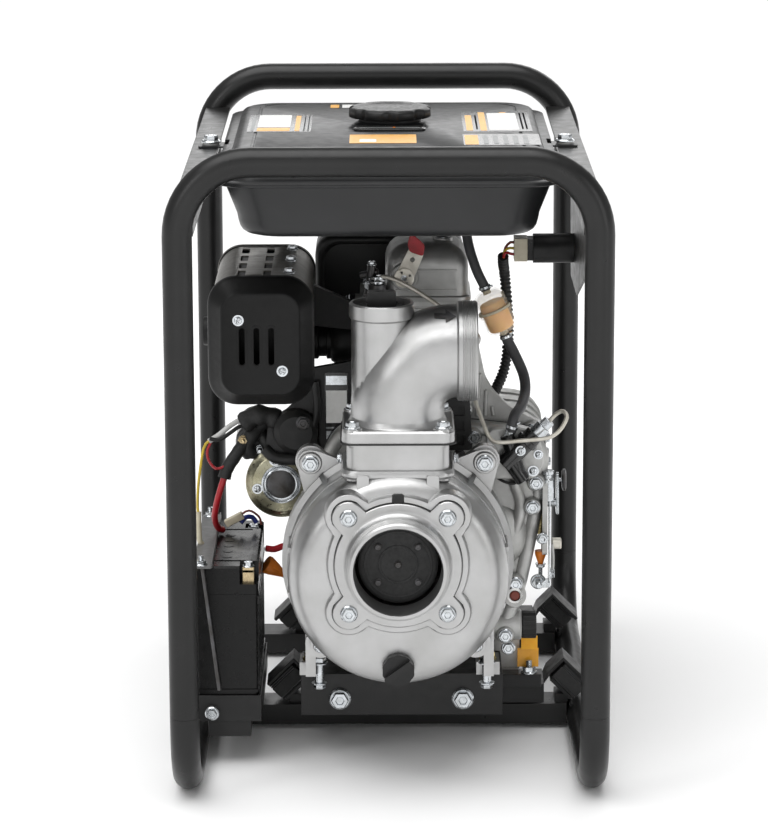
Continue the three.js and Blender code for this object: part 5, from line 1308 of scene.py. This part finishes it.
def pump_casing():
    front, rear = -345, -232
    x, z = SHAFT.x, SHAFT.z
    rim = []
    for k in range(13):
        angle = math.pi / 2 * k / 12
        rim.append((97.5 + 30 * math.sin(angle), front + 30 - 30 * math.cos(angle)))
    drum = turned("y", [(0, front), *rim, (127.5, rear - 20), (129, rear - 16), (136, rear - 14),
                        (136, rear), (0, rear)], x, z, 128)
    band = turned("y", [(100, -286), (128.6, -286), (129.2, -284), (129.2, -276), (128.6, -274), (100, -274),
                        (100, -286)], x, z, 128)
    neck_low, neck_high = (-49, -328), (69, -216)
    wide = rounded(*neck_low, *neck_high, 18)
    neck = loft("z", [(wide, 356), (wide, 416), (rounded(-50, -329, 70, -215, 18), 418),
                      (rounded(-50, -329, 70, -215, 18), 421.5)])
    ledge = loft("z", [(rounded(-53, -331, 73, -216, 19), 380), (rounded(-55, -333, 75, -216, 19), 383),
                       (rounded(-55, -333, 75, -216, 19), 386), (rounded(-53, -331, 73, -216, 19), 390)])
    behind = box(-80, rear, 340, 100, -205, 399.5)
    blocks = [prism("y", rounded(x - 7 + shift, 368, x + 7 + shift, 386, 3), -337, -322)
              for shift in (-40, 40)]
    boss = loft("y", [(lobed(84, 29), -334), (lobed(81.5, 27.5), -349), (lobed(80, 26), -351.6),
                      (lobed(79, 25.4), -352)])
    drain = turned("y", [(0, -347), (15, -347), (17, -345), (19, -330), (0, -330)], x, 160)
    ribs = [moved(box(118, -300, -3, 131, rear, 3), x, 0, z, ("Y", math.radians(a)))
            for a in (18, -12, 192, 168)]
    casting = join(drum, band, cut(join(neck, ledge), behind), *blocks, boss, drain, *ribs,
                   *casing_ears(rear))
    recess = prism("y", lobed(74.2, 20.2), -356, -345)
    chamber = turned("y", [(0, -337), (88, -337), (116, -312), (116, rear + 2), (0, rear + 2)], x, z, 128)
    throat = bar("z", 42, 300, 430, x, NECK_Y, FINE)
    port = bar("y", 53, -360, -320, x, PORT_Z, FINE)
    relief = prism("y", rounded(x - 7, PORT_Z + 70, x + 7, PORT_Z + 86, 3), -356, -346.5)
    drain_hole = bar("y", 10.2, -350, -320, x, 160)
    piece("pump_casting", cut(casting, recess, chamber, throat, port, relief, drain_hole),
          "cast_aluminium", replaces=["pump_casing"], bevel=1.2)
    piece("casing_notch", prism("y", rounded(x - 6.4, PORT_Z + 72, x + 6.4, PORT_Z + 83, 2.6), -352.6,
                                -346.6), "rubber", bevel=0.6)
    flare = [part for a, b in ear_places() for part in bolt("y", a, b, rear - 14, -1, 7 if b > z else 5)]
    side = bolt("x", -290, 396, 75, 1, 4.5) + bolt("x", -290, 396, -55, -1, 4.5)
    piece("pump_casing_bolts", flare + side, "zinc")


def casing_ears(rear):
    ears = []
    for a, b in ear_places():
        way = (Vector((a, b)) - Vector((SHAFT.x, SHAFT.z))).normalized()
        side = Vector((-way.y, way.x))
        root = Vector((SHAFT.x, SHAFT.z)) + way * 112
        tip = Vector((a, b))
        reach = 15 if b > SHAFT.z else 10
        web = [root + side * 40, tip + side * reach + way * 6, tip + side * 6 + way * reach,
               tip - side * 6 + way * reach, tip - side * reach + way * 6, root - side * 40]
        ears.append(prism("y", filleted([(p.x, p.y) for p in web], 7), rear - 10, rear))
        ears.append(turned("y", [(0, rear - 14), (reach - 3, rear - 14), (reach - 1, rear - 9),
                                 (0, rear - 9)], a, b))
        gusset = [root + side * 3, tip + side * 3 - way * 18, tip - side * 3 - way * 18, root - side * 3]
        ears.append(loft("y", [([(p.x, p.y) for p in gusset], rear - 13),
                               ([(root.x + s * side.x * 3 + way.x * f, root.y + s * side.y * 3 + way.y * f)
                                 for s, f in ((1, 0), (1, 8), (-1, 8), (-1, 0))], rear - 52)]))
    return ears


def suction_port():
    x, z = SHAFT.x, PORT_Z
    flange = loft("y", [(lobed(72, 18), -357), (lobed(73, 19), -356), (lobed(73, 19), -347.6),
                        (lobed(72.4, 18.4), -346.6)])
    collar = turned("y", [(0, -364), (58, -364), (59.5, -361), (62, -358.4), (66, -356.6), (70, -356),
                          (0, -356)], x, z, 96)
    step = turned("y", [(0, -386), (55, -386), (57.4, -384), (57.4, -362), (0, -362)], x, z, 96)
    threads = []
    for k in range(8):
        start = -383 + k * 2.4
        threads.append(turned("y", [(54, start), (56.4, start), (58, start + 0.9), (58, start + 1.3),
                                    (56.4, start + 2.2), (54, start + 2.2), (54, start)], x, z, 96))
    bore = turned("y", [(0, -390), (51.5, -390), (51.5, -386), (50, -383), (50, -340), (0, -340)], x, z, 96)
    casting = cut(join(flange, collar, step, *threads), bore)
    piece("suction_casting", casting, "cast_aluminium", replaces=["suction_port"], bevel=0.8)
    heads = [part for a, b in port_bolts() for part in bolt("y", a, b, -357, -1, 7)]
    piece("suction_bolts", heads, "zinc")
    gasket = cut(prism("y", lobed(73.4, 19.4), -346.3, -345.3), bar("y", 50, -350, -340, x, z, FINE))
    piece("suction_seal", gasket, "rubber", replaces=["suction_gasket"])


def check_flap():
    x = SHAFT.x
    low, high = mm_box("check_valve_flap")
    disc = turned("y", [(0, low.y), (43, low.y), (46, low.y + 1.6), (46, high.y - 1), (45, high.y),
                        (0, high.y)], x, PORT_Z - 2)
    rings = [turned("y", [(r, low.y - 0.6), (r + 1.6, low.y - 1), (r + 3, low.y - 0.6), (r + 3, low.y + 1),
                          (r, low.y + 1), (r, low.y - 0.6)], x, PORT_Z - 2) for r in (20, 37)]
    hinge = prism("y", rounded(x - 15, 312, x + 15, 334, 5), low.y + 0.6, high.y - 0.6)
    piece("check_flap", join(disc, *rings, hinge), "rubber", body="check_valve",
          replaces=["check_valve_flap"], bevel=0.3)
    screws = []
    for a, b in ((0, 0), (23, 21), (-23, 21), (23, -21), (-23, -21)):
        screws += bolt("y", x + a, PORT_Z - 2 + b, low.y - 0.4, -1, 3)
    piece("check_flap_screws", screws, "dark_steel", body="check_valve")


def back_cover():
    y0, y1 = -231.7, -150.3
    x, z = SHAFT.x, SHAFT.z
    skin = [(0, y0), (136, y0), (136, y0 + 14), (130, y0 + 15), (98, y0 + 20), (92, y0 + 28), (86, y1 - 14),
            (92, y1 - 12), (92, y1), (0, y1)]
    dish = turned("y", skin, x, z, 96)
    ribs = [moved(box(60, y0 + 10, -3, 124, y1 - 16, 3), x, 0, z, ("Y", math.radians(a)))
            for a in (15, 60, 120, 165, 195, 240, 300, 345)]
    trims = turned("y", [(92, y0 + 15), (150, y0 + 15), (150, y1), (88, y1 - 14), (92, y0 + 15)], x, z, 96)
    ribs = [cut(rib, trims) for rib in ribs]
    ears = []
    for a, b in ear_places():
        way = (Vector((a, b)) - Vector((x, z))).normalized()
        side = Vector((-way.y, way.x))
        root = Vector((x, z)) + way * 110
        tip = Vector((a, b))
        ears.append(prism("y", [(p.x, p.y) for p in (root + side * 30, tip + side * 17, tip - side * 17,
                                                     root - side * 30)], y0, y0 + 13))
        ears.append(bar("y", 18, y0, y0 + 14, a, b))
    feet = []
    for foot in (-94, 118):
        feet += [box(foot - 14, -186, 103.3, foot + 14, -146, 119),
                 box(foot - 6, -218, 111, foot + 6, -152, 205)]
    bore = bar("y", 17.5, y0 - 2, y1 + 2, x, z)
    hollow = turned("y", [(0, y0 + 22), (78, y0 + 22), (74, y1 - 8), (74, y1 + 2), (0, y1 + 2)], x, z)
    piece("back_cover_casting", cut(join(dish, *ribs, *ears, *feet), bore, hollow), "cast_aluminium",
          replaces=["pump_back_cover"], bevel=1)
    nuts = [part for foot in (-94, 118) for part in stud_nut("z", foot, -170, 119, 1, 7.5, 14)]
    piece("pump_foot_nuts", nuts, "yellow_zinc")


def elbow_run(grow=0.0):
    """The cored bend of the discharge elbow with its rounded shoulder."""
    path = [Vector((10, NECK_Y, 436 + i)) for i in range(0, 16, 4)]
    path += bent_path([(10, NECK_Y, 452), (10, NECK_Y, ELBOW_Z), (96, NECK_Y, ELBOW_Z)], ELBOW_BEND, 20)
    return swept(path, 54 + grow, 72)


def discharge_elbow():
    x = SHAFT.x
    base = loft("z", [(rounded(x - 64, -335, x + 65, -209, 13), 423.3),
                      (rounded(x - 64, -335, x + 65, -209, 13), 435),
                      (rounded(x - 62, -333, x + 63, -211, 12), 437.3)])
    foot = turned("z", [(0, 436), (58.6, 436), (56, 439), (54, 444), (0, 444)], x, NECK_Y)
    drum = turned("z", [(0, 430), (35, 430), (35, 557), (36.4, 558), (37.5, 559.5), (37.5, 574.5), (36, 576),
                        (0, 576)], x - 18, NECK_Y)
    ring = turned("x", [(0, 78), (55, 78), (57.5, 80), (57.5, 100.6), (56, 102), (0, 102)], NECK_Y,
                  ELBOW_Z, 96)
    threads = [turned("x", [(52, 84 + k * 2.6), (57, 84 + k * 2.6), (58.2, 84.9 + k * 2.6),
                            (58.2, 85.5 + k * 2.6), (57, 86.4 + k * 2.6), (52, 86.4 + k * 2.6),
                            (52, 84 + k * 2.6)], NECK_Y, ELBOW_Z, 96) for k in range(6)]
    corners = [(x + sx * 52, NECK_Y + sy * 50) for sx in (-1, 1) for sy in (-1, 1)]
    towers = [turned("z", [(0, 425), (12.5, 425), (12, 436), (11, 439), (0, 439)], a, b) for a, b in corners]
    rib = prism("y", filleted([(-47, 436), (-44, 436), (-40, 500), (-30, 520), (-20, 470)], 5),
                NECK_Y - 3, NECK_Y + 3)
    casting = join(base, foot, elbow_run(), drum, ring, *threads, *towers, rib)
    core_path = [Vector((x, NECK_Y, 415 + i)) for i in range(0, 36, 6)]
    core_path += bent_path([(x, NECK_Y, 452), (x, NECK_Y, ELBOW_Z), (106, NECK_Y, ELBOW_Z)], ELBOW_BEND, 20)
    core = swept(core_path, 47.6, 64)
    cup = turned("z", [(0, ELBOW_Z), (29, ELBOW_Z), (29, 566.5), (33.4, 567.5), (33.4, 580), (0, 580)],
                 x - 18, NECK_Y)
    arrow = prism("y", [(52, 562.6), (65, 562.6), (65, 559), (77, 564.6), (65, 570.2), (65, 566.8),
                        (52, 566.8)], -340, -276)
    casting = cut(casting, core, cup)
    piece("discharge_casting", casting, "cast_aluminium", replaces=["discharge_elbow"], bevel=1.2)
    raised = boolean(elbow_run(0.9), [arrow], "INTERSECT")
    piece("flow_arrow", cut(raised, elbow_run(-0.5)), "dark_steel")
    heads = [part for a, b in corners for part in bolt("z", a, b, 439, 1, 6.5)]
    piece("elbow_bolts", heads, "zinc")
    gasket = cut(prism("z", rounded(x - 66, -337, x + 67, -208, 14), 421.6, 423.2),
                 bar("z", 42, 420, 425, x, NECK_Y, FINE))
    piece("elbow_seal", gasket, "rubber")


def priming_plug():
    x = SHAFT.x - 18
    low, high = mm_box("priming_plug")
    disc = turned("z", [(0, low.z), (27.8, low.z), (28.4, low.z + 1), (28.4, low.z + 3), (27, low.z + 4),
                        (0, low.z + 4)], x, NECK_Y)
    grip = prism("y", filleted([(x - 17, low.z + 3), (x - 16.5, high.z - 2), (x - 14, high.z),
                                (x + 14, high.z), (x + 16.5, high.z - 2), (x + 17, low.z + 3)], 3),
                 NECK_Y - 7, NECK_Y + 7)
    nubs = [bar("z", 2.4, low.z + 3, low.z + 5, x + 23 * math.cos(a), NECK_Y + 23 * math.sin(a), SMALL)
            for a in (0.8, 2.3, 3.9, 5.5)]
    piece("priming_cap", join(disc, grip, *nubs), "black_plastic", body="priming_plug",
          replaces=["priming_plug"], bevel=1)


def drain_plug():
    x, z = SHAFT.x, 160
    low, high = mm_box("drain_plug")

    def scallop(i):
        return 19 * (1 - 0.05 * (1 + math.cos(i * math.tau * 10 / 80)) / 2)

    outline = [(x + scallop(i) * math.cos(math.tau * i / 80), z + scallop(i) * math.sin(math.tau * i / 80))
               for i in range(80)]
    knob = prism("y", outline, -357, -347.4)
    grip = moved(prism("y", rounded(-18.4, -3.8, 18.4, 3.8, 2.6), low.y, -356), x, 0, z,
                 ("Y", -math.radians(36)))
    thread = bar("y", 9.8, -348, high.y, x, z)
    piece("drain_knob", join(knob, grip, thread), "black_plastic", body="drain_plug",
          replaces=["drain_plug"], bevel=0.8)


# ---------------------------------------------------------------- electrics
def battery():
    low, high = mm_box("battery")
    x0, x1, y0, y1, z0, z1 = low.x, high.x, low.y, high.y, low.z, high.z
    case = loft("z", [(rounded(x0 + 2, y0 + 2, x1 - 2, y1 - 2, 4), z0),
                      (rounded(x0 + 1, y0 + 1, x1 - 1, y1 - 1, 4), z1 - 34)])
    lid = loft("z", [(rounded(x0, y0, x1, y1, 4), z1 - 36), (rounded(x0, y0, x1, y1, 4), z1 - 2.5),
                     (rounded(x0 + 2.5, y0 + 2.5, x1 - 2.5, y1 - 2.5, 4), z1)])
    lip = prism("z", rounded(x0, y0, x1, y1, 4), z0 + 12, z0 + 15)
    strip = prism("z", rounded(x0 - 0.8, y0 - 0.8, x1 + 0.8, y1 + 0.8, 5), z1 - 37, z1 - 34.5)
    notches = [box(x1 - 22, y - 4, z1 - 22, x1 + 2, y + 22, z1 + 2) for y in (-212, -35)]
    top_line = cut(prism("z", rounded(x0 + 8, y0 + 26, x1 - 8, y1 - 44, 4), z1 - 1, z1 + 0.9),
                   prism("z", rounded(x0 + 12, y0 + 30, x1 - 12, y1 - 48, 3), z1 + 0.1, z1 + 3))
    vents = [bar("z", 6, z1 - 2, z1 + 0.6, (x0 + x1) / 2, y) for y in (-170, -145, -120, -95, -70)]
    ribs = [box(x1 - 1.4, y, z0 + 20, x1 - 0.4, y + 3, z1 - 40) for y in range(-205, 0, 24)]
    piece("battery_case", cut(join(case, lid, lip, strip, top_line, *vents, *ribs), *notches),
          "battery_case", replaces=["battery"], bevel=0.8)
    posts = [box(x1 - 19, y + 4, z1 - 23, x1 - 5, y + 10, z1 - 3) for y in (-212, -35)]
    posts += [box(x1 - 19, y + 4, z1 - 10, x1 - 5, y + 18, z1 - 6) for y in (-212, -35)]
    piece("battery_posts", posts, "brass", bevel=0.6)
    bolts = [part for y in (-212, -35) for part in bolt("z", x1 - 12, y + 9, z1 - 3, 1, 5)]
    piece("battery_post_bolts", bolts, "zinc")


def battery_clamp():
    x = -222.5
    bar_mesh = cut(prism("z", rounded(-232, -226, -209, 20, 4), 246.8, 250),
                   *[bar("z", 3, 245, 252, x, y) for y in (-219.6, 11)])
    lip = box(-211, -222, 249.6, -209.4, 16, 253.5)
    piece("clamp_bar", join(bar_mesh, lip), "clamp_paint", replaces=["battery_clamp"], bevel=0.8)
    rods = [strut((x, -219.6, 258), (-203, -222, 96), 2.4, 20), strut((x, 11, 258), (-212, 12, 96), 2.4, 20)]
    piece("clamp_rods", rods, "dark_steel")
    nuts = stud_nut("z", x, -219.4, 250, 1, 5.2, 7) + stud_nut("z", x, 11, 250, 1, 5.2, 7)
    piece("clamp_nuts", nuts, "zinc")


def wiring_loom():
    path = [(138.5, -54, 589), (139, -44, 578), (141, -32, 564), (145, -28, 520),
            (146, -28, 480), (140, -40, 444), (124, -66, 416)]
    tube = wire(path, 6, 20, wave=lambda i: 1.12 if i % 4 < 2 else 0.88, step=1.3)
    piece("loom_tube", tube, "rubber", replaces=["wiring_loom"], sharp=60)
    ties = [strut((145.6, -28, z), (145.8, -28, z + 3), 7.4, 20) for z in (508, 470)]
    piece("loom_ties", ties, "rubber", bevel=0.4)
    leads = (("red", -7, "red_plastic"), ("yellow", 0, "yellow_wire"), ("dark", 7, "red_oxide"))
    for name, lift, look in leads:
        lead = wire([(154, -64, 600 + lift), (147, -64, 601 + lift), (141, -61, 598 + lift * 0.4),
                     (139, -56, 588)], 1.7, 10)
        piece(f"loom_lead_{name}", lead, look)
    shell = cut(box(151.2, -74, 586.2, 167, -46, 613.8), box(150, -72, 588, 158, -63, 599),
                box(150, -58, 588, 158, -49, 599), box(150, -72, 602, 158, -63, 612),
                box(150, -58, 602, 158, -49, 612))
    piece("switch_connector", shell, "cream_plastic", bevel=0.8)


def key_switch():
    y, z = -60, 600
    ring = turned("x", [(11.5, 230), (14, 230), (15.4, 231), (15.4, 232.4), (12.5, 233), (11.5, 232),
                        (11.5, 230)], y, z)
    piece("key_ring", ring, "zinc")
    nut = turned("x", [(15.2, 224.2), (19.5, 224.2), (19.5, 227), (15.2, 227), (15.2, 224.2)], y, z, 48)
    piece("key_nut", nut, "machined", bevel=0.5)
    blade = prism("y", filleted([(229, 596), (229, 604), (238, 604), (238, 596)], 0.6), y - 1.1, y + 1.1)
    barrel = bar("x", 8.2, 215, 230.4, y, z)
    bow = cut(prism("y", rounded(235, 588, 251, 612, 6), y - 2, y + 2),
              bar("y", 3, y - 4, y + 4, 246, 600))
    piece("ignition_key_blade", [blade, barrel], "machined", body="ignition_key",
          replaces=["ignition_key"])
    piece("ignition_key_bow", bow, "black_plastic", body="ignition_key", bevel=0.7)


def moving_iron():
    """Inner parts whose CAD shape is right: they get their metal and softened edges."""
    for node in ("flywheel", "impeller"):
        dress(node, "iron", 0.6)
    for node in ("crankshaft", "camshaft"):
        dress(node, "dark_steel", 0.5)
    dress("piston", "cast_aluminium", 0.5)
    dress("shaft_seal", "rubber", 0.4)


# ---------------------------------------------------------------- camera, light and floor
def area(name, place, target, width, height, power, tone=(1, 1, 1)):
    light = bpy.data.lights.new(name, "AREA")
    light.shape = "RECTANGLE"
    light.size = width
    light.size_y = height
    light.energy = power
    light.color = tone
    made = bpy.data.objects.new(name, light)
    link_to_scene(made)
    made.location = place
    made.rotation_euler = (Vector(target) - Vector(place)).to_track_quat("-Z", "Y").to_euler()


def studio():
    world = bpy.data.worlds.new("studio")
    world.use_nodes = True
    back = world.node_tree.nodes["Background"]
    back.inputs["Color"].default_value = (1, 1, 1, 1)
    back.inputs["Strength"].default_value = SKY
    bpy.context.scene.world = world
    paper = bpy.data.materials.new("paper")
    paper.use_nodes = True
    sheet = paper.node_tree.nodes["Principled BSDF"]
    sheet.inputs["Base Color"].default_value = (0.96, 0.96, 0.96, 1)
    sheet.inputs["Roughness"].default_value = 0.85
    floor = bpy.data.meshes.new("floor")
    reach = FLOOR_REACH
    corners = [(-reach, -reach, 0), (reach, -reach, 0), (reach, reach, 0), (-reach, reach, 0)]
    floor.from_pydata(corners, [], [(0, 1, 2, 3)])
    floor.materials.append(paper)
    ground = bpy.data.objects.new("floor", floor)
    link_to_scene(ground)
    area("front", (0, -4.9, 1.6), (0, 0, 0.4), 5.0, 3.0, 36)
    area("key", (-2.2, -2.4, 1.9), (0, 0, 0.4), 0.9, 1.6, 14)
    area("fill", (2.4, -2.0, 1.2), (0, 0, 0.35), 0.8, 1.6, 9)
    area("back", (0.6, 3.0, 1.8), (0, 0, 0.4), 2.4, 1.4, 20)
    sun = bpy.data.lights.new("sky_panel", "SUN")
    sun.energy = SUN
    sun.angle = math.radians(60)
    overhead = bpy.data.objects.new("sky_panel", sun)
    link_to_scene(overhead)
    overhead.rotation_euler = (math.radians(12), math.radians(-10), 0)


def camera():
    lens = bpy.data.cameras.new("camera")
    lens.lens = 152.4
    lens.sensor_width = 36
    eye = bpy.data.objects.new("camera", lens)
    link_to_scene(eye)
    eye.location = (-0.0027, -4.264, 1.353)
    eye.rotation_euler = (math.radians(77.1), 0.0033, 0)
    bpy.context.scene.camera = eye
    bpy.context.scene.view_settings.view_transform = "Standard"


tubes()
frame_plates()
rubber_mounts()
tank_shells()
fuel_cap()
gauge()
tank_labels()
bracket_bolts()
muffler()
air_cleaner()
crankcase()
crankcase_cover()
cylinder_and_head()
rocker_cover()
decompression_lever()
engine_front_details()
blower()
recoil_handle()
starter()
starter_wiring()
injection()
controls()
dipstick()
fuel_line()
pump_casing()
suction_port()
check_flap()
back_cover()
discharge_elbow()
priming_plug()
drain_plug()
battery()
battery_clamp()
wiring_loom()
key_switch()
moving_iron()
studio()
camera()
